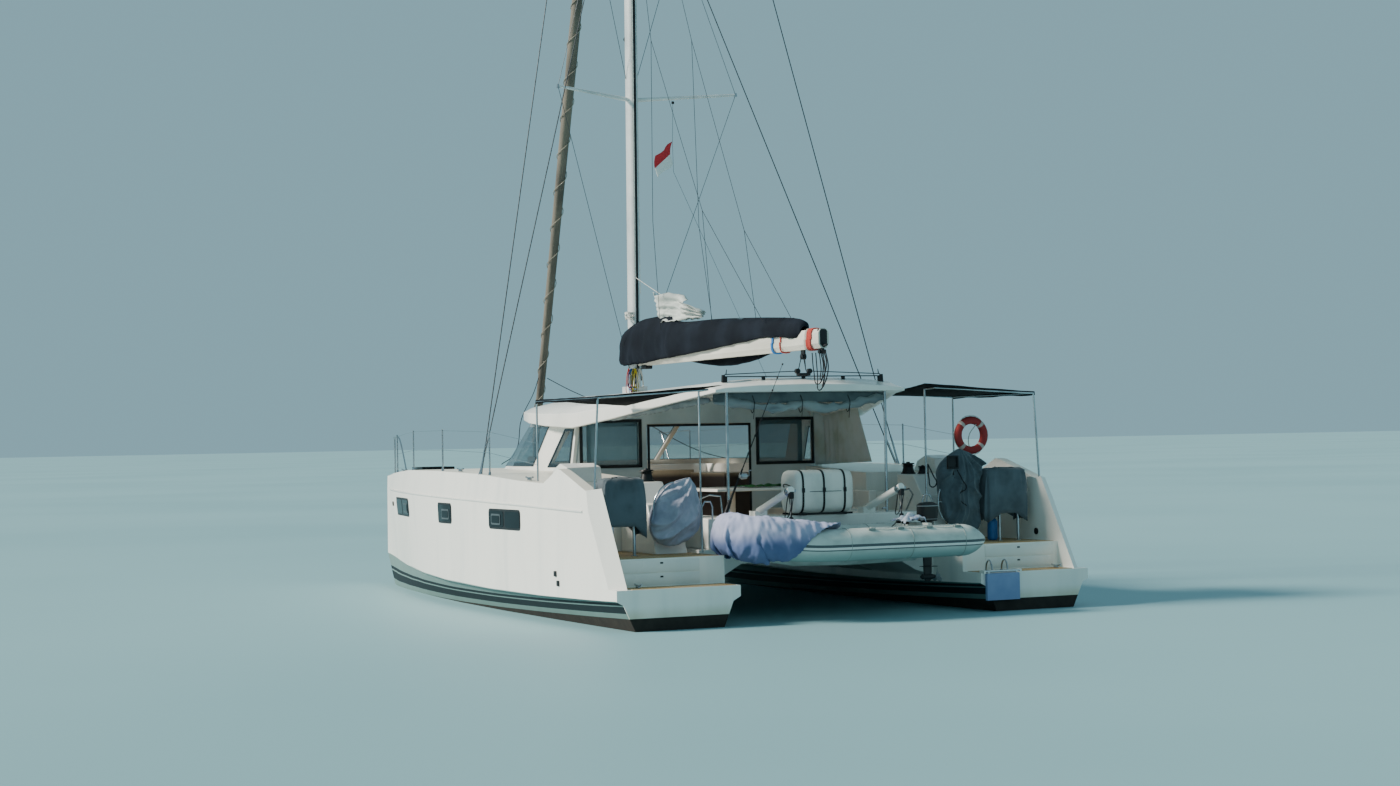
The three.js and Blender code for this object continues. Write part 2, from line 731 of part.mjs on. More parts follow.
function biminiFrame() {
  const { front, aft, outer, aftFootY, outerZ, tube } = BIMINI;
  const rail = bentTube(
    [
      [front, outer, deckHeight(front + tube) + GAP],
      [front, outer, outerZ],
      [aft, outer, outerZ],
      [aft, aftFootY, deckHeight(aft - tube) + GAP],
    ],
    tube,
  );
  const inner = bentTube(
    [
      [aft, outer, outerZ],
      [aft + 40, 1690, 2960],
      [1240, 1690, 2950],
      [1240, 1690, SOLE_Z + GAP],
    ],
    tube,
  );
  const frontBow = rod([front, outer, outerZ], [front, 1960, 2930], tube);
  return joined(rail, inner, frontBow);
}

function biminiCloth(frame) {
  const { front, aft, outer, outerZ, innerZ, tube } = BIMINI;
  const corners = [
    [aft - 20, 1500, innerZ + 20],
    [aft - 20, outer + 20, outerZ],
    [front + 20, outer + 20, outerZ],
    [front + 20, 1930, innerZ - 40],
    [1700, 1570, innerZ + 15],
  ];
  const layer = (lift) => corners.map(([x, y, z]) => [x, y, z + lift]);
  const cloth = loft([layer(tube - 6), layer(tube + 14)]);
  return cut(cloth, frame, frame.translate([0, 0, GAP]));
}

function hardtopPosts(roofAbove) {
  const post = rod([1450, 1190, BENCH_Z + GAP], [1450, 1190, 3000], 20, 10);
  const brace = rod([1450, 1190, 1350], [1450, 1120, 1350], 14, 8);
  return cut(joined(post, brace), roofAbove);
}

// Moulded seating of the cockpit: a port bench that turns into the aft bench, which carries the raft.
const BENCH_Z = 1300;
const BACKREST_Z = 1560;

function cockpitSeating() {
  const floor = SOLE_Z + GAP;
  const side = HULL_INNER_Y - GAP;
  const bench = block(1900, BULKHEAD_X - 60, 1050, side, floor, BENCH_Z);
  const backrest = block(2500, BULKHEAD_X - 60, 1620, side, BENCH_Z - 10, BACKREST_Z);
  const aftBench = block(NACELLE_AFT_X + 20, 1950, -1600, 1600, floor, BENCH_Z);
  return joined(bench, backrest, aftBench);
}

function cockpitLounge() {
  const floor = SOLE_Z + GAP;
  const side = HULL_INNER_Y - GAP;
  const seat = block(2700, BULKHEAD_X - 60, -side, -1050, floor, BENCH_Z);
  const backrest = block(2700, BULKHEAD_X - 60, -side, -1620, BENCH_Z - 10, BACKREST_Z);
  return joined(seat, backrest);
}

function cockpitTable() {
  const leaf = slab("xy", [[2700, -300], [4000, -300], [4000, 750], [2700, 750]], 1600, 1640);
  const leg = rod([3350, 225, SOLE_Z + GAP + 20], [3350, 225, 1610], 60, 12);
  const foot = rod([3350, 225, SOLE_Z + GAP], [3350, 225, SOLE_Z + 25], 190, 16);
  return joined(leaf, leg, foot);
}

// Galley and settee blocks seen through the glass.
function saloonFurniture() {
  const floor = SOLE_Z + GAP;
  const counter = block(6300, 8000, -HULL_INNER_Y + GAP, -1100, floor, 1800);
  const front = slab("xz", [[7500, floor], [8200, floor], [8240, 1850], [7500, 1850]], -1150, 1000);
  const settee = block(5600, 7400, 1100, HULL_INNER_Y - GAP, floor, 1380);
  const back = block(5600, 8180, 1600, HULL_INNER_Y - GAP, floor, 1780);
  const corner = block(7300, 8150, 900, 1700, floor, 1380);
  return joined(counter, front, settee, back, corner);
}

function helmConsole() {
  const pedestal = loft([
    [[1250, 1880, HELM_DECK_Z + GAP], [2390, 1880, HELM_DECK_Z + GAP], [2390, 2330, HELM_DECK_Z + GAP], [1250, 2330, HELM_DECK_Z + GAP]],
    [[1560, 1900, 1500], [2390, 1900, 1500], [2390, 2310, 1500], [1560, 2310, 1500]],
  ]);
  const top = slab("xz", [[1700, 1480], [2390, 1480], [2390, 1790], [1950, 1780]], 1900, 2310);
  return joined(pedestal, top);
}

// The covered wheel, with its shaft reaching the pedestal.
function wheelCover(console) {
  const rings = [
    // x, half-width, low z, top z
    [1020, 200, 1020, 1690],
    [1120, 340, 940, 1830],
    [1230, 330, 1000, 1800],
  ];
  const bag = loft(rings.map(([x, half, low, top]) => {
    const mid = (low + top) / 2;
    return Array.from({ length: 12 }, (_, i) => {
      const angle = (i * Math.PI) / 6;
      return [x, WHEEL_Y + half * Math.cos(angle), mid + ((top - low) / 2) * Math.sin(angle)];
    });
  }));
  const shaft = rod([1200, WHEEL_Y, WHEEL_Z], [1600, WHEEL_Y, WHEEL_Z], 30, 12);
  return joined(bag, cut(shaft, console, console.translate([-GAP, 0, 0])));
}

function helmSeat() {
  const box = block(900, 1230, 2560, 3190, 1300, 1850);
  const legs = [2720, 3020].map((y) => rod([1050, y, HELM_DECK_Z + GAP], [1050, y, 1320], 22, 8));
  return joined(box, ...legs);
}

// White pod on the coaming at the front of the helm well.
function helmPod() {
  const outline = [
    [2420, deckHeight(2420) + GAP],
    [3050, deckHeight(3050) + GAP],
    [2950, 1960],
    [2720, 2040],
    [2480, 1990],
  ];
  return slab("xz", outline, 2560, 3050);
}

const FALL_R = 6;
const DAVIT = { y: 810, tipX: 400, tipZ: 1660, rootX: 1330, rootZ: 1365 };

// A davit arm with the fall that reaches the dinghy's floor.
function davit(dinghyFloor) {
  const { y, tipX, tipZ, rootX, rootZ } = DAVIT;
  const arm = rod([rootX, y, rootZ], [tipX, y, tipZ], 48, 12);
  const foot = block(rootX - 70, rootX + 100, y - 90, y + 90, BENCH_Z + GAP, rootZ + 10);
  const strut = rod([rootX + 60, y, rootZ - 20], [tipX + 420, y, tipZ - 130], 26, 8);
  const fall = rod([tipX + 20, y, tipZ - 20], [tipX + 20, y, DINGHY_Z - 90], FALL_R, 8);
  return joined(arm, foot, strut, cut(fall, dinghyFloor, dinghyFloor.translate([0, 0, GAP])));
}

// Inflated tube of the dinghy: a U open at the transom end, with cone ends.
const TUBE_R = 205;

const DINGHY_HALF = 545;
const BOW_LIFT = 110;
const DINGHY_TRANSOM_Y = -1000;

function dinghyTube() {
  const line = [
    // y from stern to bow, distance from the dinghy's centreline, tube radius
    [-1700, DINGHY_HALF, 60],
    [-1560, DINGHY_HALF, 150],
    [-1400, DINGHY_HALF, TUBE_R],
    [-300, DINGHY_HALF, TUBE_R],
    [700, DINGHY_HALF, TUBE_R],
    [1100, DINGHY_HALF - 50, TUBE_R],
    [1400, DINGHY_HALF - 170, TUBE_R],
    [1580, DINGHY_HALF - 350, TUBE_R],
    [1640, 0, TUBE_R],
  ];
  const near = line.map(([y, off, r]) => {
    const lift = BOW_LIFT * Math.max(0, (y - 600) / 1040) ** 2;
    return [DINGHY_X - off, y, DINGHY_Z + lift, r];
  });
  const far = near.slice(0, -1).reverse().map(([x, y, z, r]) => [2 * DINGHY_X - x, y, z, r]);
  return sweep([...near, ...far], 12);
}

function dinghyHull(tube) {
  const rings = [
    // y, half-width, side z, keel z
    [DINGHY_TRANSOM_Y + 20, 420, DINGHY_Z - 110, DINGHY_Z - 270],
    [0, 430, DINGHY_Z - 110, DINGHY_Z - 290],
    [800, 380, DINGHY_Z - 90, DINGHY_Z - 270],
    [1250, 200, DINGHY_Z - 40, DINGHY_Z - 190],
  ].map(([y, half, side, keelZ]) => [
    [DINGHY_X - half, y, side],
    [DINGHY_X, y, keelZ],
    [DINGHY_X + half, y, side],
    [DINGHY_X + half, y, side + 40],
    [DINGHY_X - half, y, side + 40],
  ]);
  const back = DINGHY_TRANSOM_Y;
  const transom = block(DINGHY_X - 430, DINGHY_X + 430, back, back + 55, DINGHY_Z - 200, DINGHY_Z + 230);
  const { swivelY, pin } = OUTBOARD;
  const lugs = [1010, 1150].map((z) => block(DINGHY_X - 25, DINGHY_X + 25, swivelY - 10, back + 10, z, z + 30));
  const swivelPin = rod([DINGHY_X, swivelY, 1020], [DINGHY_X, swivelY, 1170], pin, 12);
  return cut(joined(loft(rings), transom, swivelPin, ...lugs), tube, tube.translate([0, 0, -GAP]), tube.translate([0, -GAP, 0]));
}

// Cloth cover over the dinghy's bow, hanging down its sides.
function dinghyCover(tube, hullOfDinghy) {
  const rings = [
    // y, aft edge x, forward edge x, low z, top z
    [700, -420, 1010, 860, 1215],
    [1200, -400, 1020, 780, 1250],
    [1600, -250, 930, 800, 1300],
    [1850, -60, 800, 900, 1280],
  ].map(([y, x0, x1, low, top]) => [
    [x0, y, low],
    [x1, y, low],
    [x1, y, top - 90],
    [(x0 + x1) / 2 + 180, y, top],
    [(x0 + x1) / 2 - 180, y, top],
    [x0, y, top - 90],
  ]);
  const inside = joined(tube, hullOfDinghy);
  const hollow = block(DINGHY_X - 400, DINGHY_X + 400, 500, 1400, 500, 1180);
  const around = [
    [0, 0, 3],
    [0, 0, -3],
    [1, 0, 0],
    [-1, 0, 0],
    [0, 1, 0],
  ];
  const fallX = DAVIT.tipX + 20;
  const fallHole = rod([fallX, DAVIT.y, 1000], [fallX, DAVIT.y, 1500], FALL_R + 3, 8);
  return cut(loft(rings), inside, ...around.map((shift) => inside.translate(shift)), hollow, fallHole);
}

const OUTBOARD = { y: -1060, topZ: 1450, propZ: 470, swivelY: -1070, pin: 8 };

function outboard() {
  const { y, topZ, propZ, swivelY, pin } = OUTBOARD;
  const cowl = loft([
    [[310, y - 250, 1210], [490, y - 250, 1210], [490, y - 20, 1210], [310, y - 20, 1210]],
    [[290, y - 270, 1300], [510, y - 270, 1300], [510, y, 1300], [290, y, 1300]],
    [[330, y - 240, topZ], [470, y - 240, topZ], [470, y - 50, topZ], [330, y - 50, topZ]],
  ]);
  const leg = loft([
    [[350, y - 190, propZ - 60], [450, y - 190, propZ - 60], [450, y - 60, propZ - 60], [350, y - 60, propZ - 60]],
    [[340, y - 200, 1215], [460, y - 200, 1215], [460, y - 40, 1215], [340, y - 40, 1215]],
  ]);
  const gearcase = rod([400, y - 230, propZ], [400, y - 10, propZ], 42, 12, 22);
  const shaft = rod([400, y - 235 + GAP, propZ], [400, y - 220, propZ], 10, 12);
  const barrel = block(380, 420, y - 50, swivelY + 15, 1046, 1144);
  const bore = rod([400, swivelY, 1000], [400, swivelY, 1200], pin + 0.5, 12);
  return joined(cowl, leg, gearcase, shaft, cut(barrel, bore));
}

function lifeRaft() {
  const shape = new THREE.Shape();
  const [w, h, r] = [450, 540, 130];
  shape.moveTo(-w / 2 + r, -h / 2);
  shape.lineTo(w / 2 - r, -h / 2);
  shape.absarc(w / 2 - r, -h / 2 + r, r, -Math.PI / 2, 0);
  shape.absarc(w / 2 - r, h / 2 - r, r, 0, Math.PI / 2);
  shape.absarc(-w / 2 + r, h / 2 - r, r, Math.PI / 2, Math.PI);
  shape.absarc(-w / 2 + r, -h / 2 + r, r, Math.PI, 1.5 * Math.PI);
  const body = new THREE.ExtrudeGeometry(shape, { depth: 900, bevelEnabled: true, bevelSize: 18, bevelThickness: 30, curveSegments: 4, bevelSegments: 2 });
  body.rotateX(Math.PI / 2);
  body.translate(1330, 440, BENCH_Z + 40 + h / 2);
  const cradle = [-300, 300].map((dy) => block(1230, 1430, -10 + dy - 25, -10 + dy + 25, BENCH_Z + GAP, 1400));
  return joined(solidOf(body), ...cradle);
}

// Lifebuoy on a post that stands on the starboard helm deck.
function lifebuoy() {
  const ring = new THREE.TorusGeometry(210, 55, 10, 24);
  ring.rotateY(Math.PI / 2).translate(1560, -2610, 2310);
  const post = rod([1560, -2610, HELM_DECK_Z + GAP], [1560, -2610, 2060], 14, 8);
  return joined(solidOf(ring), post);
}

const LADDER = { x: -37, z: 530, outer: -2320, inner: -1790, tube: 14 };

// Boarding ladder hung on the starboard transom, folded and covered.
function ladder() {
  const { x, z, outer, inner, tube } = LADDER;
  const pad = block(x - 25, x + 25, outer + 15, inner - 15, 150, 500);
  const rails = [outer + 50, inner - 50].map((y) => rod([x, y, 470], [x, y, z], tube, 8));
  const pin = rod([x, outer, z], [x, inner, z], tube, 12);
  return joined(pad, ...rails, pin);
}

// Lugs on the starboard platform that hold the ladder's pin.
function ladderLugs() {
  const { x, z, outer, inner, tube } = LADDER;
  return [outer - GAP - 24, inner + GAP].map((y) => block(x - tube, 60, y, y + 24, PLATFORM_Z - 10, z + tube));
}

function hatch() {
  const x = HATCH_X;
  const [aft, fore] = [x - HATCH_HALF, x + HATCH_HALF];
  const outline = [
    [aft, deckHeight(aft) + GAP],
    [fore, deckHeight(fore) + GAP],
    [fore, deckHeight(fore) + 45],
    [aft, deckHeight(aft) + 45],
  ];
  return slab("xz", outline, 2490 - HATCH_HALF, 2490 + HATCH_HALF);
}

const roofAbove = spaceAboveRoof();
const hullSolid = hull();
place("hull_port", hullSolid, "gelcoat");
place("hull_starboard", joined(mirrored(hullSolid), ...ladderLugs()), "gelcoat");
placePair("keel", keel(hullSolid), "antifouling");
placePair("saildrive", saildrive(), "alloy");
placePair("propeller", propeller(215, 42, 90, 3).translate([DRIVE_X - 245, 2565, -780]), "alloy");
placePair("rudder", rudder(), "antifouling");
place("bridgedeck", bridgedeck(), "gelcoat");
place("bow_beam", bowBeam(hullSolid), "alloy");
placePair("trampoline", trampoline(), "net");
place("cabin_house", cabinHouse(roofAbove), "gelcoat");
place("windscreen", cut(glazing([[6075, 1975], [9300, 1975], [9300, 2600], [5650, 2600]], -3000, 3000), roofAbove), "smoked");
placePair("side_window", cut(glazing([[4900, 1960], [5590, 1960], [5170, 2515], [4900, 2515]], 1000, 3000), roofAbove), "smoked");
place("aft_bulkhead", aftBulkhead(roofAbove), "gelcoat");
placePair("saloon_door", doorLeaf(), "smoked");
const roofSolid = hardtop();
place("hardtop", roofSolid, "gelcoat");
placePair("hardtop_post", hardtopPosts(roofAbove), "steel");
const mastSolid = mast(roofSolid);
place("mast", mastSolid, "alloy");
place("boom", boom(), "alloy");
place("sail_cover", sailCover(), "navy");
place("furled_headsail", furledHeadsail(), "uvstrip");
placePair("cap_shroud", shroud(CHAINPLATE_X, CAP_SHROUD_Z, hullSolid, mastSolid), "steel");
placePair("lower_shroud", shroud(CHAINPLATE_X + 60, LOWER_SHROUD_Z, hullSolid, mastSolid), "steel");
const biminiSolid = biminiFrame();
placePair("bimini_frame", biminiSolid, "steel");
placePair("bimini_cloth", biminiCloth(biminiSolid), "canvas");
const consoleSolid = helmConsole();
placePair("helm_console", consoleSolid, "gelcoat");
placePair("helm_pod", helmPod(), "gelcoat");
placePair("helm_seat", helmSeat(), "slate");
placePair("wheel_cover", wheelCover(consoleSolid), "lavender");
place("cockpit_seating", cockpitSeating(), "gelcoat");
place("cockpit_lounge", cockpitLounge(), "gelcoat");
place("cockpit_table", cockpitTable(), "teak");
place("saloon_furniture", saloonFurniture(), "teak");
const tube = dinghyTube();
const dinghyBottom = dinghyHull(tube);
place("davit_port", davit(dinghyBottom), "gelcoat");
place("davit_starboard", mirrored(davit(mirrored(dinghyBottom))), "gelcoat");
place("dinghy_tube", tube, "tubefabric");
place("dinghy_hull", dinghyBottom, "tubefabric");
place("dinghy_cover", dinghyCover(tube, dinghyBottom), "lavender");
place("outboard", outboard(), "black");
place("outboard_propeller", propeller(115, 30, 60, 3).rotate([0, 0, 90]).translate([400, OUTBOARD.y - 265, OUTBOARD.propZ]), "alloy");
place("life_raft", lifeRaft(), "gelcoat");
place("lifebuoy", lifebuoy(), "orange");
place("boarding_ladder", ladder(), "steel");
placePair("deck_hatch", hatch(), "smoked");

const part = new THREE.Group();
part.add(boat);
export default part;
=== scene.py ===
from math import atan2, copysign, cos, hypot, pi, radians, sin, tanh

import bmesh
import bpy
from mathutils import Matrix, Vector, noise
from mathutils.bvhtree import BVHTree


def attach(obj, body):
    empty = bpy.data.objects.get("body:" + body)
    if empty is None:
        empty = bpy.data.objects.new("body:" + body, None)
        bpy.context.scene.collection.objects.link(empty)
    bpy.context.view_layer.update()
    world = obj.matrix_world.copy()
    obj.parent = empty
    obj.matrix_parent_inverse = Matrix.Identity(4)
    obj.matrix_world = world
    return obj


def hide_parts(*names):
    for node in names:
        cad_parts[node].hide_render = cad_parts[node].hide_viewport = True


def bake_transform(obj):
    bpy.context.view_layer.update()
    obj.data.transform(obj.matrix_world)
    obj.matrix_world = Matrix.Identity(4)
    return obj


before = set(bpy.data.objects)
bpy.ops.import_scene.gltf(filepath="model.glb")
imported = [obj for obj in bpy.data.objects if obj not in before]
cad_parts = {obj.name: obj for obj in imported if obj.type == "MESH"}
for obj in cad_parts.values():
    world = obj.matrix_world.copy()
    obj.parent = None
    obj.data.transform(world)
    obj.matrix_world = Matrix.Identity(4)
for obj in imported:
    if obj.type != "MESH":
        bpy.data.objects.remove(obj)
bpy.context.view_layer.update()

# View: low and off the port quarter, as the photograph was taken. The lens is worked out from a
# focal length in the picture's own pixels.
film_width, focal_pixels, picture_pixels = 36, 2303.3, 1400
eye_place = Vector((-31.69, 14.36, 2.33))
eye_right = Vector((-0.4258, -0.9046, -0.0194))
eye_up = Vector((-0.0263, -0.0090, 0.9996))
eye = bpy.data.objects.new("eye", bpy.data.cameras.new("eye"))
eye.data.sensor_width = film_width
eye.data.lens = film_width * focal_pixels / picture_pixels
eye.data.clip_end = 1000
turn = Matrix((eye_right, eye_up, eye_right.cross(eye_up))).transposed()
eye.matrix_world = Matrix.Translation(eye_place) @ turn.to_4x4()
bpy.context.collection.objects.link(eye)
bpy.context.scene.camera = eye

# Studio: a pale sky all round, a soft key light high to port that leaves the transoms in shade, a
# weak cool one astern, and a lamp in the saloon.
world = bpy.data.worlds.new("pale_sky")
world.use_nodes = True
sky = world.node_tree.nodes["Background"].inputs
sky["Color"].default_value = (0.44, 0.77, 0.90, 1)
sky["Strength"].default_value = 0.56
bpy.context.scene.world = world


def lamp(name, place, target, size, power, colour):
    """A soft square lamp, or an even light from far away where it has no size."""
    light = bpy.data.lights.new(name, "AREA" if size else "SUN")
    if size:
        light.size = size
    else:
        light.angle = radians(14)
    light.energy = power
    light.color = colour
    lit = bpy.data.objects.new(name, light)
    lit.location = place
    lit.rotation_euler = (Vector(target) - Vector(place)).to_track_quat("-Z", "Y").to_euler()
    bpy.context.collection.objects.link(lit)


lamp("port_light", (10, 34, 26), (-1, 0, 3), 0, 6.1, (1.0, 0.94, 0.84))
lamp("saloon_lamp", (0.6, 0, 2.44), (0.6, 0, 1), 1.5, 14, (1.0, 0.98, 0.92))
lamp("stern_lamp", (-34, -12, 14), (-2, 0, 3), 16, 120, (0.60, 0.90, 1.0))


# Floor: a plain pale sheet at the height where the boat floats. Its paint, like every finish here,
# is worked out from its place, so a finish keeps its true scale on any piece.
class Value:
    """A node's output that takes part in sums; each sum adds a Math node."""

    def __init__(self, finish, socket):
        self.finish = finish
        self.socket = socket

    def sum(self, operation, first, second=0.0):
        return self.finish.node("ShaderNodeMath", {"operation": operation}, {0: first, 1: second})

    __add__ = __radd__ = lambda self, other: self.sum("ADD", self, other)
    __mul__ = __rmul__ = lambda self, other: self.sum("MULTIPLY", self, other)
    __sub__ = lambda self, other: self.sum("SUBTRACT", self, other)
    __rsub__ = lambda self, other: self.sum("SUBTRACT", other, self)
    __truediv__ = lambda self, other: self.sum("DIVIDE", self, other)
    __gt__ = lambda self, other: self.sum("GREATER_THAN", self, other)
    __lt__ = lambda self, other: self.sum("LESS_THAN", self, other)
    __abs__ = lambda self: self.sum("ABSOLUTE", self)

    def within(self, low, high):
        return (self > low) * (self < high)

    def either(self, other):
        return self.sum("MAXIMUM", self, other)

    def every(self, step):
        """Place inside a repeated strip, from 0 to 1."""
        return self.sum("FRACT", self / step)


def tint(code):
    """A colour as a paint chart gives it, in the linear numbers that shaders use."""
    parts = [int(code[i : i + 2], 16) / 255 for i in (0, 2, 4)]
    return (*(c / 12.92 if c < 0.04 else ((c + 0.055) / 1.055) ** 2.4 for c in parts), 1.0)


class Finish:
    """A paint, cloth or metal. feed() sets or links a socket, and node() adds a node."""

    def __init__(self, name, **sockets):
        self.material = bpy.data.materials.new(name)
        self.material.use_nodes = True
        self.tree = self.material.node_tree
        self.shader = self.tree.nodes["Principled BSDF"]
        self.place = Value(self, self.tree.nodes.new("ShaderNodeTexCoord").outputs["Object"])
        self.set(**sockets)

    def set(self, **sockets):
        for name, value in sockets.items():
            socket = name.replace("_", " ").title().replace("Ior", "IOR")
            self.feed(self.shader.inputs[socket], value)

    def feed(self, socket, value):
        if isinstance(value, Value):
            self.tree.links.new(value.socket, socket)
        else:
            socket.default_value = value

    def node(self, kind, settings, inputs, output=0):
        node = self.tree.nodes.new(kind)
        for name, setting in settings.items():
            setattr(node, name, setting)
        for name, value in inputs.items():
            self.feed(node.inputs[name], value)
        return Value(self, node.outputs[output])

    def axes(self, source=None):
        """The three parts of a place, which is the surface's own unless another is given."""
        source = source or self.place
        return [self.node("ShaderNodeSeparateXYZ", {}, {0: source}, i) for i in range(3)]

    def facing(self):
        """The three parts of the surface's outward direction."""
        return self.axes(self.node("ShaderNodeNewGeometry", {}, {}, 1))

    def noise(self, scale, detail=3.0, stretch=(1, 1, 1)):
        spot = self.node("ShaderNodeMapping", {}, {0: self.place, 3: stretch})
        inputs = {"Vector": spot, "Scale": scale, "Detail": detail}
        return self.node("ShaderNodeTexNoise", {}, inputs)

    def step(self, value, low, high):
        """0 below low, 1 above high, and smooth between."""
        smooth = {"interpolation_type": "SMOOTHSTEP"}
        return self.node("ShaderNodeMapRange", smooth, {0: value, 1: low, 2: high})

    def mix(self, share, under, over):
        """Goes from one colour to another; a colour is a paint chart's code or a mix."""
        under, over = (tint(c) if isinstance(c, str) else c for c in (under, over))
        return self.node("ShaderNodeMix", {"data_type": "RGBA"}, {0: share, 6: under, 7: over}, 2)

    def relief(self, height, depth):
        """Makes the surface look raised by depth metres where height is 1."""
        inputs = {"Strength": 1.0, "Distance": depth, "Height": height}
        self.set(normal=self.node("ShaderNodeBump", {}, inputs))


def coating(name, colour, worn, scale=1.5, gloss=(0.2, 0.35), grain=60, depth=0.0004,
            stretch=(1, 1, 1), **sockets):
    """A finish that drifts from its colour to a worn one, with gloss and fine grain to match."""
    finish = Finish(name, **sockets)
    drift = finish.noise(scale, 5.0, stretch)
    finish.set(base_color=finish.mix(finish.step(drift, 0.35, 0.75), colour, worn))
    finish.set(roughness=gloss[0] + (gloss[1] - gloss[0]) * drift)
    finish.relief(finish.noise(grain, 4.0), depth)
    return finish


def piece(name, form, finish, body="boat", sharp=28, edge=0.0, stands_for=()):
    """Makes a modelled form an object that rides on a body."""
    for face in form.faces:
        face.smooth = True
    for seam in form.edges:
        seam.smooth = seam.calc_face_angle(0.0) < radians(sharp)
    mesh = bpy.data.meshes.new(name)
    form.to_mesh(mesh)
    form.free()
    mesh.materials.append(finish.material)
    made = bpy.data.objects.new(name, mesh)
    bpy.context.collection.objects.link(made)
    if edge:
        bevel = made.modifiers.new("edge", "BEVEL")
        bevel.width = edge
        bevel.segments = 2
        bevel.limit_method = "ANGLE"
        bevel.angle_limit = radians(sharp)
    if body:
        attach(made, body)
    if stands_for:
        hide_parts(*stands_for)
    return made


sheet = bmesh.new()
bmesh.ops.create_grid(sheet, x_segments=1, y_segments=1, size=3000)
pale_floor = coating("pale_floor", "8bb2b8", "82a9b0", scale=0.05, gloss=(0.5, 0.6))
piece("floor", sheet, pale_floor, body=None)


# Hulls: two glass-fibre shells in white gelcoat, with teal boot stripes over dark antifouling. The
# deck edge falls in a wing to the stern platform.
def dressed(name, node, finish, body="boat", sharp=28, edge=0.0, grown=0.0):
    """A CAD solid in its own shape, merged and softened, standing for the node."""
    form = bmesh.new()
    form.from_mesh(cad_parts[node].data)
    bmesh.ops.remove_doubles(form, verts=form.verts, dist=1e-5)
    flat = radians(0.4)
    bmesh.ops.dissolve_limit(form, angle_limit=flat, verts=form.verts, edges=form.edges)
    for v in form.verts:
        v.co += v.normal * grown
    return piece(name, form, finish, body, sharp, edge, [node])


topsides = Finish("topsides", coat_roughness=0.12, specular_ior_level=0.35)
x, y, z = topsides.axes()
knuckle = 0.3175 + 0.01083 * x + 0.00354 * x * x
fouling = 0.0275 - 0.01333 * x + 0.00146 * x * x
share = (z - fouling) / (knuckle - fouling)
side_wall = x > -5.985
# The band is the hull below the knuckle, where painted shade goes.
band = share.within(0.0, 1.0) * side_wall
level = share * (1.17 + 0.042 * x)
stripes = (level.within(0.27, 0.63) + level.within(0.70, 0.85)) * side_wall
below = z < fouling
streaks = topsides.noise(1.1, 5.0, (2.5, 2.5, 0.3))
deck = (topsides.facing()[2] > 0.9) * (z > 1.5)
white = topsides.mix(topsides.step(streaks, 0.4, 0.8), "f7f4ec", "e4e5df")
white = topsides.mix(deck * 0.7, white, "e6e0d0")
white = topsides.mix(topsides.step(z - fouling, 0.16, 0.0) * streaks, white, "c9bf9c")
# Painted shade: the band below the knuckle, which faces down, is painted teal-grey under the
# stripes.
white = topsides.mix(band * 0.9, white, "47706f")
white = topsides.mix(stripes, white, "071e24")
slime = topsides.mix(topsides.noise(9, 6.0), "15110f", "3a332c")
topsides.set(base_color=topsides.mix(below, white, slime))
topsides.set(coat_weight=0.2 * (1 - band) * (1 - below))
topsides.set(roughness=0.24 + 0.14 * streaks + 0.45 * below + 0.25 * deck + 0.45 * band)
topsides.relief(topsides.noise(55, 2.0) * 0.1 + topsides.noise(260, 1.0) * (deck + below), 0.0012)

outward = {"port": 1, "starboard": -1}
sides = outward.items()
hull_sides = {}
for side in outward:
    dressed("hull_shell_" + side, "hull_" + side, topsides, sharp=20, edge=0.010)
    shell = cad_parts["hull_" + side].data
    corners, faces = [v.co for v in shell.vertices], [p.vertices for p in shell.polygons]
    hull_sides[side] = BVHTree.FromPolygons(corners, faces)


# Hull windows, outlets and vents: dark bonded panes that follow the shell, in black frames, with a
# grey opening portlight in each, and three black fittings through each shell.
def on_side(side, x, z):
    """The place on a hull's outer side at x and z."""
    out = outward[side]
    return hull_sides[side].ray_cast(Vector((x, out * 5, z)), Vector((0, -out, 0)))[0]


def laid_on(form, side, low_x, high_x, low_z, high_z, lift, corner):
    """Lays a thin panel with round corners on a hull's outer side."""
    out = outward[side]
    matrix = Matrix.Translation(((low_x + high_x) / 2, 0, (low_z + high_z) / 2))
    matrix @= Matrix.Diagonal(((high_x - low_x) / 2, 1, (high_z - low_z) / 2, 1))
    matrix @= Matrix.Rotation(radians(90), 4, "X")
    made = bmesh.ops.create_grid(form, x_segments=8, y_segments=4, size=1, matrix=matrix)["verts"]
    corners = [v for v in made if len(v.link_edges) == 2]
    bmesh.ops.bevel(form, geom=corners, offset=corner, segments=4, profile=0.5,
                    affect="VERTICES", material=-1)
    fresh = [v for v in form.verts if abs(v.co.y) < 0.001]
    for v in fresh:
        v.co.y = on_side(side, v.co.x, v.co.z).y
    faces = list(dict.fromkeys(face for v in fresh for face in v.link_faces))
    bmesh.ops.recalc_face_normals(form, faces=faces)
    if sum(face.normal.y for face in faces) * out < 0:
        bmesh.ops.reverse_faces(form, faces=faces)
    for v in fresh:
        v.co.y += out * lift
    bmesh.ops.solidify(form, geom=faces, thickness=lift + 0.004)


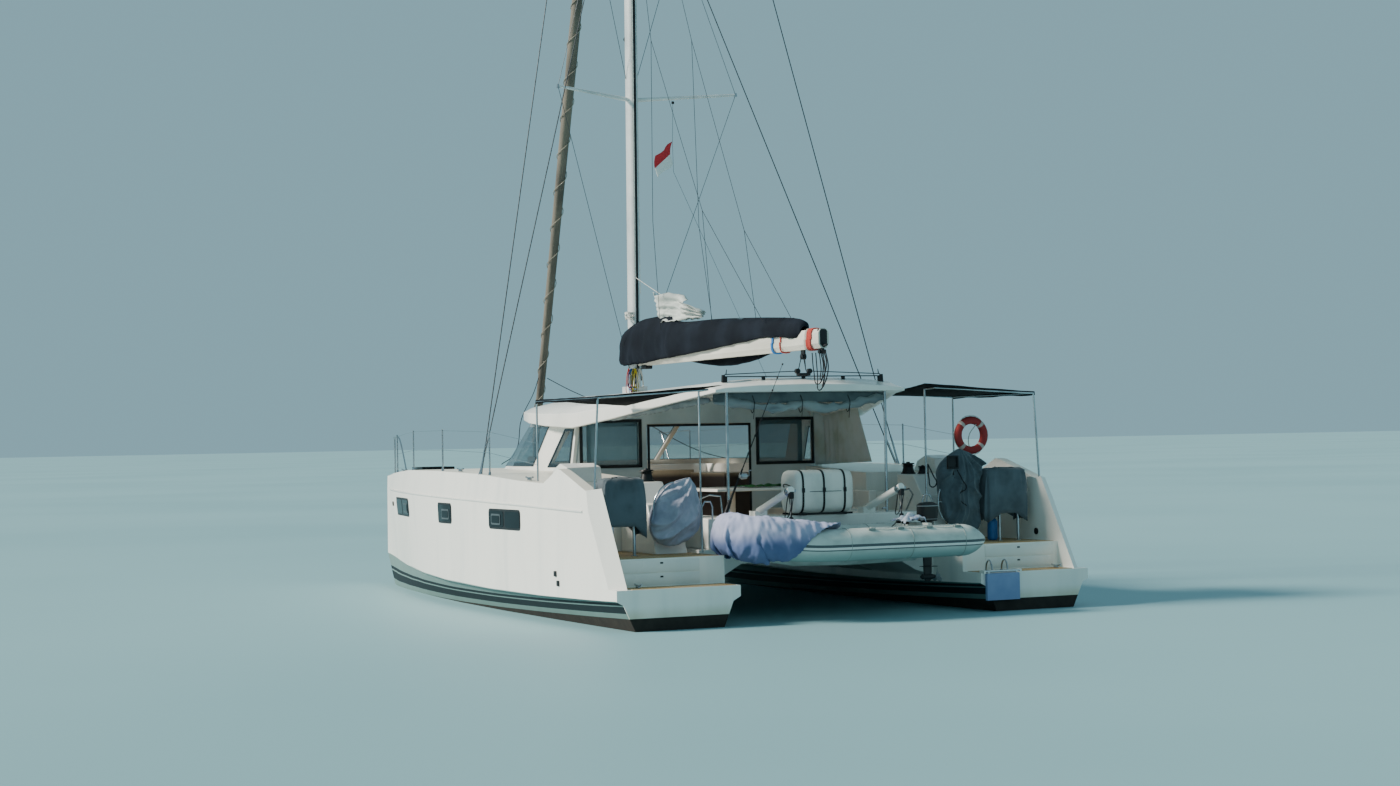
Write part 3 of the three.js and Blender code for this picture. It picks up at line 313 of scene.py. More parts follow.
hull_windows = (
    # aft end, fore end, lower edge, upper edge, aft end of the portlight
    (-2.85, -1.62, 1.15, 1.43, -2.10), (0.08, 0.80, 1.17, 1.47, 0.18),
    (2.85, 4.20, 1.20, 1.49, 2.95),
)
pane = coating("dark_pane", "141f24", "0f171b", gloss=(0.15, 0.25), grain=3, depth=0.0003,
               specular_ior_level=0.08)
grey_trim = coating("grey_trim", "4d585d", "3d474c", gloss=(0.35, 0.5), grain=300, depth=0.0002,
                    specular_ior_level=0.2)
black = coating("black_trim", "15171a", "24272b", gloss=(0.35, 0.55), grain=300, depth=0.0002,
                specular_ior_level=0.3)
for side in outward:
    frames, panes, ports = bmesh.new(), bmesh.new(), bmesh.new()
    for aft, fore, low, high, port in hull_windows:
        laid_on(frames, side, aft, fore, low, high, 0.005, 0.06)
        middle = (aft + fore) / 2
        for start, stop in ((aft, middle), (middle, fore)) if fore - aft > 1 else ((aft, fore),):
            laid_on(panes, side, start + 0.03, stop - 0.03, low + 0.03, high - 0.03, 0.009, 0.045)
        laid_on(ports, side, port, port + 0.36, low + 0.06, low + 0.21, 0.015, 0.03)
        laid_on(panes, side, port + 0.03, port + 0.33, low + 0.085, low + 0.185, 0.019, 0.02)
    for aft, low in ((-4.19, 0.48), (-4.10, 0.60), (4.75, 1.33)):
        laid_on(frames, side, aft, aft + 0.07, low, low + 0.07, 0.018, 0.03)
    piece("hull_window_frames_" + side, frames, black, edge=0.002)
    piece("hull_window_panes_" + side, panes, pane)
    piece("hull_portlights_" + side, ports, grey_trim)


# Treads: thin teak laid on the platforms, the helm decks and the soles, with dark caulking, and the
# locker fronts in the risers.
def block(form, low, high, edge=0.0):
    """A block between two corners, with its edges rounded."""
    ends = [[f(a, b) for a, b in zip(low, high)] for f in (min, max)]
    size = [b - a for a, b in zip(*ends)]
    middle = [(a + b) / 2 for a, b in zip(*ends)]
    matrix = Matrix.Translation(middle) @ Matrix.Diagonal((*size, 1))
    made = bmesh.ops.create_cube(form, size=1, matrix=matrix)["verts"]
    if edge:
        edges = list(dict.fromkeys(e for v in made for e in v.link_edges))
        bmesh.ops.bevel(form, geom=edges, offset=edge, segments=2, profile=0.5, affect="EDGES",
                        material=-1)


teak = Finish("teak")
x, y, z = teak.axes()
seams = (x.every(0.048) < 0.09).either(y.every(0.9) < 0.006)
fibre = teak.noise(14, 6.0, (1, 0.06, 1))
wood = teak.mix(fibre, "c9a672", "94754c")
wood = teak.mix(teak.step(teak.noise(2, 3.0), 0.4, 0.7) * 0.5, wood, "b5a78c")
teak.set(base_color=teak.mix(seams, wood, "2a2724"), roughness=0.6 + 0.25 * fibre)
teak.relief(fibre * 0.25 - seams, 0.0015)
gelcoat = coating("gelcoat", "f2efe8", "dddfda", scale=1.1, gloss=(0.2, 0.36), coat_weight=0.25)
for side, out in sides:
    treads, lockers, latches = bmesh.new(), bmesh.new(), bmesh.new()
    block(treads, (-5.965, out * 1.80, 0.509), (-5.585, out * 3.20, 0.516), 0.002)
    block(treads, (-5.51, out * 1.80, 0.859), (-3.63, out * 3.22, 0.866), 0.002)
    block(treads, (-3.57, out * 1.80, 1.209), (-3.33, out * 2.31, 1.216), 0.002)
    for low, high in ((0.532, 0.672), (0.688, 0.842)):
        block(lockers, (-5.56, out * 2.10, low), (-5.545, out * 3.17, high), 0.004)
        block(latches, (-5.566, out * 2.60, high - 0.05), (-5.56, out * 2.64, high - 0.03), 0.002)
    piece("treads_" + side, treads, teak)
    piece("riser_lockers_" + side, lockers, gelcoat)
    piece("locker_latches_" + side, latches, black)
soles = bmesh.new()
block(soles, (-4.03, -1.04, 0.899), (-1.22, 1.04, 0.906), 0.002)
block(soles, (-1.03, -1.04, 0.899), (1.45, 1.05, 0.906), 0.002)
piece("inside_soles", soles, teak)

# Underwater gear: keels and rudders painted with the same antifouling, grey saildrives and bronze
# propellers.
antifouling = coating("antifouling", "2a211e", "54483f", scale=5, gloss=(0.7, 0.9), grain=40,
                      depth=0.002)
drive_grey = coating("drive_grey", "8d9498", "6d7478", scale=6, gloss=(0.35, 0.5))
bronze = coating("bronze", "9a7c4c", "6f6a4c", scale=9, gloss=(0.3, 0.5), metallic=1.0)
for side in outward:
    dressed("keel_fin_" + side, "keel_" + side, antifouling, sharp=40)
    dressed("rudder_blade_" + side, "rudder_" + side, antifouling, "rudder_" + side, 40)
    dressed("drive_leg_" + side, "saildrive_" + side, drive_grey, sharp=40)
    dressed("bronze_propeller_" + side, "propeller_" + side, bronze, "propeller_" + side, 40)


# Knuckles: a moulded white rib along each topside, above the windows, that catches the light. It
# follows the shell from the bow to the wing.
def tube(form, points, radius, rounded=False, sides=2):
    """A tube along the points; a curve's bevel makes its wall and its ends."""
    curve = bpy.data.curves.new("route", "CURVE")
    curve.dimensions = "3D"
    curve.bevel_depth = radius
    curve.bevel_resolution = sides
    curve.resolution_u = 6
    curve.use_fill_caps = True
    spline = curve.splines.new("BEZIER" if rounded else "POLY")
    knots = spline.bezier_points if rounded else spline.points
    knots.add(len(points) - 1)
    for knot, place in zip(knots, points):
        knot.co = place if rounded else (*place, 1)
        if rounded:
            knot.handle_left_type = knot.handle_right_type = "AUTO"
    route = bpy.data.objects.new("route", curve)
    mesh = bpy.data.meshes.new_from_object(route)
    form.from_mesh(mesh)
    bpy.data.objects.remove(route)
    bpy.data.curves.remove(curve)
    bpy.data.meshes.remove(mesh)


for side, out in sides:
    rib, line = bmesh.new(), []
    for k in range(52):
        spot = 5.2 - 0.2 * k
        hit = on_side(side, spot, 1.541 + 0.0145 * spot - 0.0008 * spot * spot)
        if hit and abs(hit.y) > 2.5:
            line.append(hit + Vector((0, out * 0.001, 0)))
    tube(rib, line, 0.016)
    piece("knuckle_rib_" + side, rib, gelcoat)

# Bridgedeck and bow beam: the moulded floor between the hulls, and the alloy beam with its sprit
# bolted between the bows.
alloy = coating("spar_alloy", "c4c8c8", "a9aeb0", scale=3, gloss=(0.32, 0.46), grain=400,
                depth=0.0001, metallic=0.85)
dressed("bridgedeck_moulding", "bridgedeck", gelcoat, edge=0.012)
dressed("bow_beam_tube", "bow_beam", alloy, sharp=40)


# Nets: two trampolines of dark cord, each laced by a black rope to the beam, the hull and the
# bridgedeck, and sagging a little inside its rim.
def clamped(value, low=0, high=1):
    return max(low, min(high, value))


def rope_finish(name, colour, worn, scale=60, grain=500, **sockets):
    return coating(name, colour, worn, scale, (0.7, 0.9), grain, 0.001, **sockets)


def from_rim(place, rim):
    """How far a place is from the nearest side of a closed rim."""
    gaps = []
    for a, b in zip(rim, rim[1:] + rim[:1]):
        nearest = a + (b - a) * clamped((place - a).dot(b - a) / (b - a).length_squared)
        gaps.append((place - nearest).length)
    return min(gaps)


netting = Finish("netting")
x, y, z = netting.axes()
cords = (x.every(0.03) < 0.3).either(y.every(0.03) < 0.3)
netting.set(base_color=netting.mix(netting.noise(40), "2b3036", "42484f"), roughness=0.9)
netting.set(alpha=cords)
netting.relief(cords, 0.003)
rope_black = rope_finish("black_rope", "1d1f22", "34373b", specular_ior_level=0.2)
corners = ((2.96, 0.13), (2.96, 1.72), (4.00, 1.89), (5.00, 2.15), (5.455, 2.30), (5.49, 0.13))
for side, out in sides:
    rim = [Vector((a, out * b, 1.628)) for a, b in corners]
    net = bmesh.new()
    net.faces.new([net.verts.new(p) for p in rim])
    bmesh.ops.triangulate(net, faces=net.faces)
    bmesh.ops.subdivide_edges(net, edges=net.edges, cuts=5, use_grid_fill=True)
    for v in net.verts:
        v.co.z -= 0.035 * min(1, from_rim(v.co, rim) / 0.5)
    made = piece("net_" + side, net, netting, sharp=180, stands_for=["trampoline_" + side])
    lacing = bmesh.new()
    tube(lacing, rim + rim[:1], 0.009)
    piece("net_hem_" + side, lacing, rope_black)


# Cabin: a moulded house with bonded smoked glass in front and at its sides, whose edges are blacked
# out where they are glued.
def glazing(name, clear, worn, dark, edge, seen, **sockets):
    """Smoked glass that is dark and closed in some places and lets this much be seen elsewhere."""
    glass = coating(name, clear, worn, grain=2, depth=0.0002, **sockets)
    closed = edge(*glass.axes())
    glass.set(alpha=1 - seen + seen * closed)
    glass.set(base_color=glass.mix(closed, clear, dark))
    return glass


def screen_edge(x, y, z):
    return (z < 2.02).either(x + 0.68 * z < 1.455).either(abs(abs(y) - 0.92) < 0.035)


def side_edge(x, y, z):
    return (z < 2.0).either(z > 2.475).either(x < -1.06).either(x + 0.757 * z > 1.03)


dressed("cabin_moulding", "cabin_house", gelcoat, edge=0.006)
windscreen = glazing("windscreen_glass", "35525f", "263d48", "12171a", screen_edge, 0.66,
                     gloss=(0.03, 0.08), coat_weight=0.6)
side_glass = glazing("side_glass", "2b4450", "20343e", "101416", side_edge, 0.75,
                     gloss=(0.03, 0.08), coat_weight=0.6)
dressed("cabin_windscreen", "windscreen", windscreen, sharp=12)
for side in outward:
    dressed("cabin_side_glass_" + side, "side_window_" + side, side_glass, sharp=12)


# Aft bulkhead: a painted wall with two framed windows, and two glass doors that slide on a rail
# across its opening.
def border(form, at_x, low, high, width, depth):
    """A flat frame across the boat, round an opening between two corners (y, z)."""
    (y0, z0), (y1, z1) = low, high
    for y_a, y_b, z_a, z_b in (
        (y0 - width, y1 + width, z0 - width, z0),
        (y0 - width, y1 + width, z1, z1 + width),
        (y0 - width, y0, z0, z1),
        (y1, y1 + width, z0, z1),
    ):
        block(form, (at_x, y_a, z_a), (at_x - depth, y_b, z_b), 0.003)


def door_frame(x, y, z):
    return 1 - abs(y).within(0.95, 1.68) * z.within(1.015, 2.53)


bulkhead_paint = coating("bulkhead_paint", "d5dfe1", "bfcacc", scale=2, gloss=(0.4, 0.55),
                         grain=120)
dressed("bulkhead_panel", "aft_bulkhead", bulkhead_paint, edge=0.004)
frames, lights = bmesh.new(), bmesh.new()
for out in outward.values():
    low, high = sorted((out * 0.97, out * 1.85))
    border(frames, -1.159, (low, 1.98), (high, 2.59), 0.045, 0.02)
    block(lights, (-1.142, low - 0.01, 1.97), (-1.136, high + 0.01, 2.60))
border(frames, -1.159, (-0.80, 0.96), (0.80, 2.52), 0.035, 0.018)
bulkhead_glass = coating("bulkhead_glass", "7fa9b6", "6893a2", scale=0.8, gloss=(0.03, 0.08),
                         grain=2, depth=0.0002, alpha=0.25)
piece("bulkhead_frames", frames, black)
piece("bulkhead_lights", lights, bulkhead_glass)
door = glazing("door_glass", "2b4450", "20343e", "1a1d20", door_frame, 0.6, gloss=(0.03, 0.1),
               coat_weight=0.5)
for side in outward:
    dressed("sliding_door_" + side, "saloon_door_" + side, door, "door_" + side, edge=0.003)

# Saloon joinery: lockers, seats and a galley block in oak, which is dark below where the cushions
# and the shade are and pale along the worktops.
oak = Finish("oak_and_shade")
x, y, z = oak.axes()
fibre = oak.noise(7, 6.0, (0.15, 1, 1))
shaded, worktop = oak.mix(fibre, "3a3533", "2a2625"), oak.mix(fibre, "a39a82", "7d7360")
oak.set(base_color=oak.mix(oak.step(z, 1.72, 1.82), shaded, worktop))
oak.set(roughness=0.35 + 0.2 * fibre)
oak.relief(fibre, 0.0005)
dressed("saloon_joinery", "saloon_furniture", oak, edge=0.01)


# Hard top: one glass-fibre roof carried by the cabin and by two steel posts, with the traveller of
# the mainsheet bolted across its aft edge.
def drum(form, start, end, radius, tip=None, sides=20):
    """A round bar or cone between two points."""
    start, end = Vector(start), Vector(end)
    along = end - start
    turned = along.to_track_quat("Z", "Y").to_matrix().to_4x4()
    bmesh.ops.create_cone(form, cap_ends=True, segments=sides, radius1=radius,
                          radius2=radius if tip is None else tip, depth=along.length,
                          matrix=Matrix.Translation((start + end) / 2) @ turned)


steel = coating("stainless", "b4babf", "959ca1", scale=6, gloss=(0.14, 0.3), metallic=1.0)
dressed("roof_moulding", "hardtop", gelcoat, sharp=24, edge=0.012)
for side in outward:
    dressed("roof_post_" + side, "hardtop_post_" + side, steel, sharp=40)
track, gear = bmesh.new(), bmesh.new()
track_x = -4.465
block(track, (-4.49, -1.18, 3.135), (-4.44, 1.18, 3.148), 0.003)
for spot in (-1.16, -0.6, 0.0, 0.6, 1.16):
    block(track, (-4.49, spot - 0.02, 3.06), (-4.44, spot + 0.02, 3.14), 0.006)
block(gear, (-4.51, -0.09, 3.15), (-4.42, 0.09, 3.185), 0.01)
for out in outward.values():
    drum(gear, (track_x, out * 1.19, 3.06), (track_x, out * 1.19, 3.165), 0.03, 0.024)
    drum(gear, (track_x, out * 1.15, 3.17), (track_x, out * 1.14, 3.235), 0.008, 0.005)
    drum(gear, (-4.49, out * 0.09, 3.21), (-4.44, out * 0.09, 3.21), 0.035)
    ends = ((0.09, 3.21), (0.65, 3.19), (1.17, 3.17))
    tube(gear, [(track_x, out * a, height) for a, height in ends], 0.006, True)
piece("traveller_track", track, black, edge=0.001)
piece("traveller_car", gear, black)


# Enclosure curtains: grey cloth with clear panels, rolled up under the roof's edges and tied, so
# that it bulges between the ties. The starboard side one is let down and hangs in pleats.
def loft(form, rings, capped=True, round_it=True):
    """A skin bridged through rings of points."""
    loops = []
    for ring in rings:
        points = [form.verts.new(p) for p in ring]
        ends = points[1:] + points[:1] if round_it else points[1:]
        loops.append([form.edges.new(pair) for pair in zip(points, ends)])
    for near, far in zip(loops, loops[1:]):
        bmesh.ops.bridge_loops(form, edges=near + far)
    if capped:
        for loop in (loops[0], loops[-1]):
            bmesh.ops.edgeloop_fill(form, edges=loop)
    bmesh.ops.recalc_face_normals(form, faces=form.faces)


def smoothed(points, cuts):
    """More points on a soft curve through the given ones."""
    points = [Vector(p) for p in points]
    last, out = len(points) - 1, []
    for i in range(last):
        a, b, c, d = (points[clamped(i + k, 0, last)] for k in (-1, 0, 1, 2))
        for step in range(cuts):
            t = step / cuts
            bend = (a - 2.5 * b + 2 * c - d / 2) * t * t
            out.append(b + (c - a) * t / 2 + bend + (1.5 * (b - c) + (d - a) / 2) * t ** 3)
    return out + [points[-1]]


def rings_along(path, radius, sides=14, flat=1.0):
    """Rings round a path, whose radius may change along it."""
    rings, last = [], len(path) - 1
    for i, spot in enumerate(path):
        ahead = (path[min(i + 1, last)] - path[max(i - 1, 0)]).normalized()
        across = ahead.cross(Vector((0, 0, 1))).normalized()
        up = across.cross(ahead)
        wide = radius(i / last)
        turns = [2 * pi * k / sides for k in range(sides)]
        rings.append([spot + (across * cos(a) * flat + up * sin(a)) * wide for a in turns])
    return rings


def crease(form, depth, size, stretch=(1, 1, 1), seed=0.0, share=lambda place: 1.0):
    """Pushes cloth in and out in ridges that are size metres apart."""
    form.normal_update()
    for v in form.verts:
        spot = Vector(c * s for c, s in zip(v.co, stretch)) / size + Vector((seed, seed, seed))
        v.co += v.normal * depth * share(v.co) * (1 - 3 * abs(noise.noise(spot)))


def sewn(name, form, finish, thickness, **more):
    """Makes cloth a piece: a second skin inside the first, joined to it along the edges."""
    skin = form.verts[:] + form.edges[:] + form.faces[:]
    copied = bmesh.ops.duplicate(form, geom=skin)["geom"]
    form.normal_update()
    for v in copied:
        if isinstance(v, bmesh.types.BMVert):
            v.co -= v.normal * thickness
    inner = [f for f in copied if isinstance(f, bmesh.types.BMFace)]
    bmesh.ops.reverse_faces(form, faces=inner)
    bmesh.ops.bridge_loops(form, edges=[e for e in form.edges if e.is_boundary])
    bmesh.ops.recalc_face_normals(form, faces=form.faces)
    return piece(name, form, finish, sharp=180, **more)


def rolled(name, path, thick, ties, seed):
    """A roll of curtain along a path, pinched in at its ties."""
    def pinched(t):
        return thick * (0.62 + 0.38 * min(1, min(abs(t - tie) for tie in ties) / 0.07))

    form = bmesh.new()
    loft(form, rings_along(smoothed(path, 24), pinched, 16, 0.75))
    crease(form, thick * 0.35, 0.09, (1, 0.5, 1), seed)
    made = piece(name, form, curtain, sharp=180)


curtain = coating("curtain_cloth", "8f9a9c", "65717a", scale=4, gloss=(0.5, 0.7), grain=30,
                  depth=0.003, stretch=(1, 0.3, 1))
aft_roll = ((1.28, 2.83), (0.72, 2.76), (0.36, 2.72), (0, 2.76), (-0.36, 2.72), (-0.72, 2.77),
            (-1.28, 2.86))
aft_roll = [(-4.36, *spot) for spot in aft_roll]
rolled("curtain_roll_aft", aft_roll, 0.06, (0, 0.22, 0.5, 0.78, 1), 3.1)
band, rows = bmesh.new(), []
for k in range(65):
    spot = 1.30 - 2.6 * k / 64
    bow = (spot / 1.3) ** 2
    sway = 0.012 * sin(9 * spot) + 0.02 * noise.noise(Vector((spot * 4, 0, 3)))
    rows.append([Vector((-4.37 + sway * s * 0.4, spot,
                         2.95 - 0.03 * bow - 0.04 * s + 0.05 * s / 4 * bow)) for s in range(5)])
loft(band, rows, False, False)
band_cloth = coating("band_cloth", "5c686c", "424d52", scale=4, gloss=(0.6, 0.8), grain=200,
                     depth=0.001)
made = sewn("curtain_band", band, band_cloth, 0.004)
port_roll = [(-4.3, 1.33, 2.84), (-3.5, 1.56, 2.76), (-2.9, 1.75, 2.70), (-2.2, 1.88, 2.64)]
rolled("curtain_roll_port", port_roll, 0.040, (0, 0.3, 0.6, 1), 7.7)
wall, rows = bmesh.new(), []
for k in range(81):
    t = k / 80
    corner = max(0, 1 - 12 * t)
    spot = Vector((-1.20 - 1.52 * t, -1.985 + 0.20 * t + 0.11 * corner, 2.69 + 0.05 * t))
    foot = spot + Vector((-0.36 * max(0, t - 0.6) / 0.4, -0.02, -0.78))
    pleat = 0.022 * max(0, 1 - 1.6 * t) * sin(52 * t)
    pleat += 0.012 * noise.noise(Vector((9 * t, 0, 6)))
    rows.append([spot.lerp(foot, s / 9) + Vector((0, pleat * (0.3 + 0.7 * s / 9), 0))
                 for s in range(10)])
loft(wall, rows, False, False)
wall_cloth = coating("curtain_wall", "ccd6d8", "b2bdb4", scale=3, gloss=(0.7, 0.85), grain=260,
                     depth=0.001)
made = sewn("curtain_wall_starboard", wall, wall_cloth, 0.003)
ties = bmesh.new()
for spot in (0.72, 0.0, -0.72):
    loop = ((-4.36, 2.90), (-4.43, 2.78), (-4.36, 2.66), (-4.29, 2.78), (-4.36, 2.90))
    tube(ties, smoothed([(x, spot, height) for x, height in loop], 5), 0.006)
    tube(ties, [(-4.42, spot, 2.72), (-4.43, spot + 0.02, 2.58)], 0.004)
piece("curtain_ties", ties, rope_black)


# Mast: a painted alloy section raked aft on the cabin roof, with a black sail track up its aft face
# and halyards of white rope beside it.
def on_mast(height, ahead=0.0, out=0.0):
    """A point on the mast's middle line at a height, moved ahead and out."""
    return Vector((1.16 - (height - 3.075) * 0.01746 + ahead, out, height))


def taut(form, points, radius):
    """A wire or rope that runs straight from point to point."""
    tube(form, points, radius, sides=1)


mast_alloy = coating("mast_alloy", "dcdfde", "bfc4c5", scale=3, gloss=(0.3, 0.42), grain=400,
                     depth=0.0001, metallic=0.25)
white_rope = rope_finish("white_rope", "dcdcd4", "aeb0ab", 50)
dressed("mast_spar", "mast", mast_alloy, sharp=30)
track, halyards = bmesh.new(), bmesh.new()
section = ((-0.122, -0.02), (-0.122, 0.02), (-0.136, 0.02), (-0.136, -0.02))
loft(track, [[on_mast(height, a, w) for a, w in section] for height in (3.3, 18.6)])
piece("sail_track", track, black)
for ahead, out, foot in ((0.125, 0.05, 3.4), (0.13, -0.04, 3.4), (-0.145, 0.05, 4.4),
                         (-0.15, -0.045, 4.6)):
    taut(halyards, [on_mast(foot, ahead, out), on_mast(18.7, ahead * 0.7, out * 0.8)], 0.005)
piece("halyards", halyards, white_rope)

# Standing rigging: wire shrouds on turnbuckles at the deck, wire diamonds over two pairs of swept
# spreaders, and steel and black fittings on the mast.
wire_dark = coating("rigging_wire", "3b4246", "272c30", scale=20, gloss=(0.4, 0.55), metallic=0.5)
wires, fittings, lamps = bmesh.new(), bmesh.new(), bmesh.new()
for side, out in sides:
    low_tip, high_tip = Vector((0.43, out * 1.486, 7.68)), Vector((0.437, out * 1.30, 12.44))
    taut(wires, (on_mast(3.45, 0, out * 0.09), low_tip, on_mast(12.2, 0, out * 0.09)), 0.0045)
    taut(wires, (on_mast(7.95, 0, out * 0.09), high_tip, on_mast(17.0, 0, out * 0.08)), 0.0045)
    for tip in (low_tip, high_tip):
        drum(fittings, tip - Vector((0, 0, 0.03)), tip + Vector((0, 0, 0.03)), 0.026, 0.018, 12)
    for foot, head in ((-1.12, 17.5), (-1.06, 12.0)):
        chain = Vector((foot, out * 3.372, 1.90))
        up = (on_mast(head, 0, out * 0.05) - chain).normalized()
        for start, stop, wide, narrow in ((0.08, 0.34, 0.014, 0.014), (-0.02, 0.09, 0.02, 0.012),
                                          (0.34, 0.46, 0.012, 0.008)):
            drum(fittings, chain + up * start, chain + up * stop, wide, narrow, 10)
    dressed("cap_wire_" + side, "cap_shroud_" + side, wire_dark, sharp=80, grown=0.003)
    dressed("lower_wire_" + side, "lower_shroud_" + side, wire_dark, sharp=80, grown=0.003)
piece("diamond_wires", wires, wire_dark)
block(fittings, on_mast(3.25, -0.16, -0.06), on_mast(3.45, -0.13, 0.06), 0.006)
drum(fittings, on_mast(4.05, 0.11, 0), on_mast(4.05, 0.17, 0), 0.05, 0.04)
drum(fittings, on_mast(3.75, 0, 0.08), on_mast(3.75, 0, 0.17), 0.055, 0.045)
piece("mast_fittings", fittings, steel)
block(lamps, on_mast(18.98, -0.10, -0.03), on_mast(19.02, -0.04, 0.03), 0.01)
drum(lamps, on_mast(12.6, 0.11, 0), on_mast(12.6, 0.2, 0), 0.06, 0.05)
drum(lamps, on_mast(8.6, 0.11, 0), on_mast(8.6, 0.2, 0), 0.045, 0.04)
piece("mast_lamps", lamps, black)


# Ropes tied off at the mast's foot: hanks of halyard and reefing line in five colours, each hanging
# in long loops.
def loose(form, points, radius):
    """A rope that hangs in a soft curve through the points."""
    tube(form, points, radius, True, 1)


for name, colour, out, turns in (
    ("black", "26292d", 0.085, 4), ("yellow", "c9b52e", 0.055, 4), ("blue", "2b68b0", 0.115, 3),
    ("red", "b8433a", 0.165, 2), ("pale", "cfd0c8", -0.03, 3),
):
    hank = bmesh.new()
    for k in range(turns):
        across, drop = Vector((0, 0.030 + 0.010 * k, 0)), 0.30 + 0.05 * (k * 5 % 3)
        hook = on_mast(3.44, -0.16, out + 0.012 * k)
        bottom = hook - Vector((0.03, 0, drop))
        loose(hank, [hook, hook - across - Vector((0.01, 0, drop * 0.5)),
                     bottom + across * sin(3 * k),
                     hook + across - Vector((0.02, 0, drop * 0.4)), hook], 0.0065)
    piece("rope_hank_" + name, hank, rope_finish("rope_" + name, colour, colour))

# Furled headsail: rolled round the forestay with its weathered strip outside, over a furling drum,
# with the two sheets led aft to the roof.
strip = coating("sail_strip", "7b7366", "4f4a44", scale=1.2, gloss=(0.75, 0.9), grain=40,
                depth=0.004, stretch=(3, 3, 0.5))
strip_edge = coating("strip_edge", "a39b8b", "7d766a", scale=3, gloss=(0.7, 0.9))
dressed("headsail_roll", "furled_headsail", strip, "headsail", 40)
foot, stay, to_port = Vector((5.64, 0, 1.8)), Vector((-0.29775, 0, 0.95464)), Vector((0, 1, 0))
beside = stay.cross(to_port).normalized()
lap, route = 0.62, []
for k in range(260):
    up = 0.75 + 12.6 * k / 259
    thick = 0.066
    if up > 2.5:
        thick = 0.078 + 0.014 * min(1, (up - 2.5) / 5) - 0.05 * max(0, (up - 7.5) / 6)
    turned = 2 * pi * up / lap
    across = to_port * cos(turned) + beside * sin(turned)
    route.append(foot + stay * up + across * (0.012 + thick))
laps = bmesh.new()
taut(laps, route, 0.007)
piece("headsail_laps", laps, strip_edge, "headsail")
sheets = bmesh.new()
for out in outward.values():
    loose(sheets, [(5.08, out * 0.08, 3.42), (4.6, out * 0.35, 3.18), (3.5, out * 1.0, 2.72),
                   (2.25, out * 1.62, 2.13), (1.9, out * 1.95, 2.0)], 0.007)
piece("headsail_sheets", sheets, rope_black)


# Boom: a painted box section hung at the gooseneck, with a black end cap, reefing lines wrapped
# round its end and the sheet's blocks under it.
def under_boom(x, out=0.0, lift=0.0):
    """A point on the boom's middle line, moved out and up."""
    return Vector((x, out, 3.6 - 0.00333 * (x - 0.96) + lift))


def boxy(angle, wide, high, power=0.5):
    """A point on a box outline with round corners."""
    across, up = cos(angle), sin(angle)
    return (wide * copysign(abs(across) ** power, across),
            high * copysign(abs(up) ** power, up))


boom_paint = coating("boom_paint", "dedbcf", "bcb9ae", scale=2.4, gloss=(0.3, 0.45),
                     stretch=(0.3, 1, 1))
dressed("boom_spar", "boom", boom_paint, "boom", 24, 0.006)
caps = bmesh.new()
block(caps, under_boom(-5.06, -0.065, -0.11), under_boom(-4.96, 0.065, 0.135), 0.035)
drum(caps, under_boom(-5.05, 0.0, -0.10), under_boom(-5.15, 0.0, -0.085), 0.02, 0.012)
block(caps, under_boom(-5.04, -0.02, -0.19), under_boom(-4.93, 0.02, -0.11), 0.01)
drum(caps, under_boom(-5.0, -0.05, -0.17), under_boom(-5.0, 0.05, -0.17), 0.028)
block(caps, under_boom(-4.52, -0.015, -0.20), under_boom(-4.42, 0.015, -0.12), 0.008)
drum(caps, under_boom(-4.47, -0.03, -0.215), under_boom(-4.47, 0.03, -0.215), 0.04)
block(caps, under_boom(0.6, -0.06, -0.18), under_boom(0.78, 0.06, -0.12), 0.01)
piece("boom_end_fittings", caps, black, "boom")
for name, middle, turns, colour in (("red", -4.80, 5, "c4453c"), ("pale", -4.72, 3, "b9b3a8"),
                                    ("thin_red", -3.98, 1, "b8433a"), ("blue", -3.74, 2, "2b78c0")):
    wrap, coil = bmesh.new(), []
    for k in range(16 * turns + 1):
        around = boxy(2 * pi * k / 16, 0.092, 0.142, 0.6)
        coil.append(under_boom(middle + 0.026 * (k / 16 - turns / 2), *around))
    taut(wrap, coil, 0.011)
    wrap_rope = rope_finish("wrap_" + name, colour, colour, grain=400)
    piece("boom_wrap_" + name, wrap, wrap_rope, "boom")


# Sail cover: one dark acrylic cloth over the stowed sail, zipped along the top, laced under the
# boom, with a collar that goes round the mast. It is set in place and not hung on the boom.
def finer(form, cuts, smooth=0.0):
    """Cuts cloth into smaller faces."""
    bmesh.ops.subdivide_edges(form, edges=form.edges, cuts=cuts, use_grid_fill=True, smooth=smooth)


def eased(form, factor):
    """Takes the sharpness out of folds."""
    bmesh.ops.smooth_vert(form, verts=form.verts, factor=factor, use_axis_x=True, use_axis_y=True,
                          use_axis_z=True)


def slack(place):
    """How loosely the cover hangs: tight along its top, slack near its lower edge."""
    return 0.35 + 0.65 * clamped((4.1 - place.z) / 0.4)


cover_cloth = coating("cover_cloth", "0f141c", "1d242e", scale=1.6, gloss=(0.75, 0.9), grain=350,
                      depth=0.0006, specular_ior_level=0.1)
cover_line = (
    # x, lower edge, top, half-width
    (-4.52, 3.70, 3.80, 0.05), (-4.40, 3.66, 3.90, 0.10), (-3.64, 3.70, 3.965, 0.13),
    (-2.02, 3.62, 4.04, 0.15), (-0.67, 3.56, 4.07, 0.16), (-0.25, 3.54, 4.19, 0.165),
    (0.5, 3.50, 4.19, 0.165), (0.84, 3.50, 4.17, 0.19), (1.2, 3.49, 4.10, 0.20),
    (1.47, 3.55, 3.98, 0.12), (1.58, 3.68, 3.85, 0.03),
)
tops = smoothed([(x, w, top) for x, low, top, w in cover_line], 7)
lows = smoothed([(x, w, low) for x, low, top, w in cover_line], 7)
outline = ((-0.72, 0.0), (-0.95, 0.14), (-1.0, 0.32), (-0.97, 0.52), (-0.84, 0.72), (-0.58, 0.88),
           (-0.28, 0.97), (0.0, 1.0))
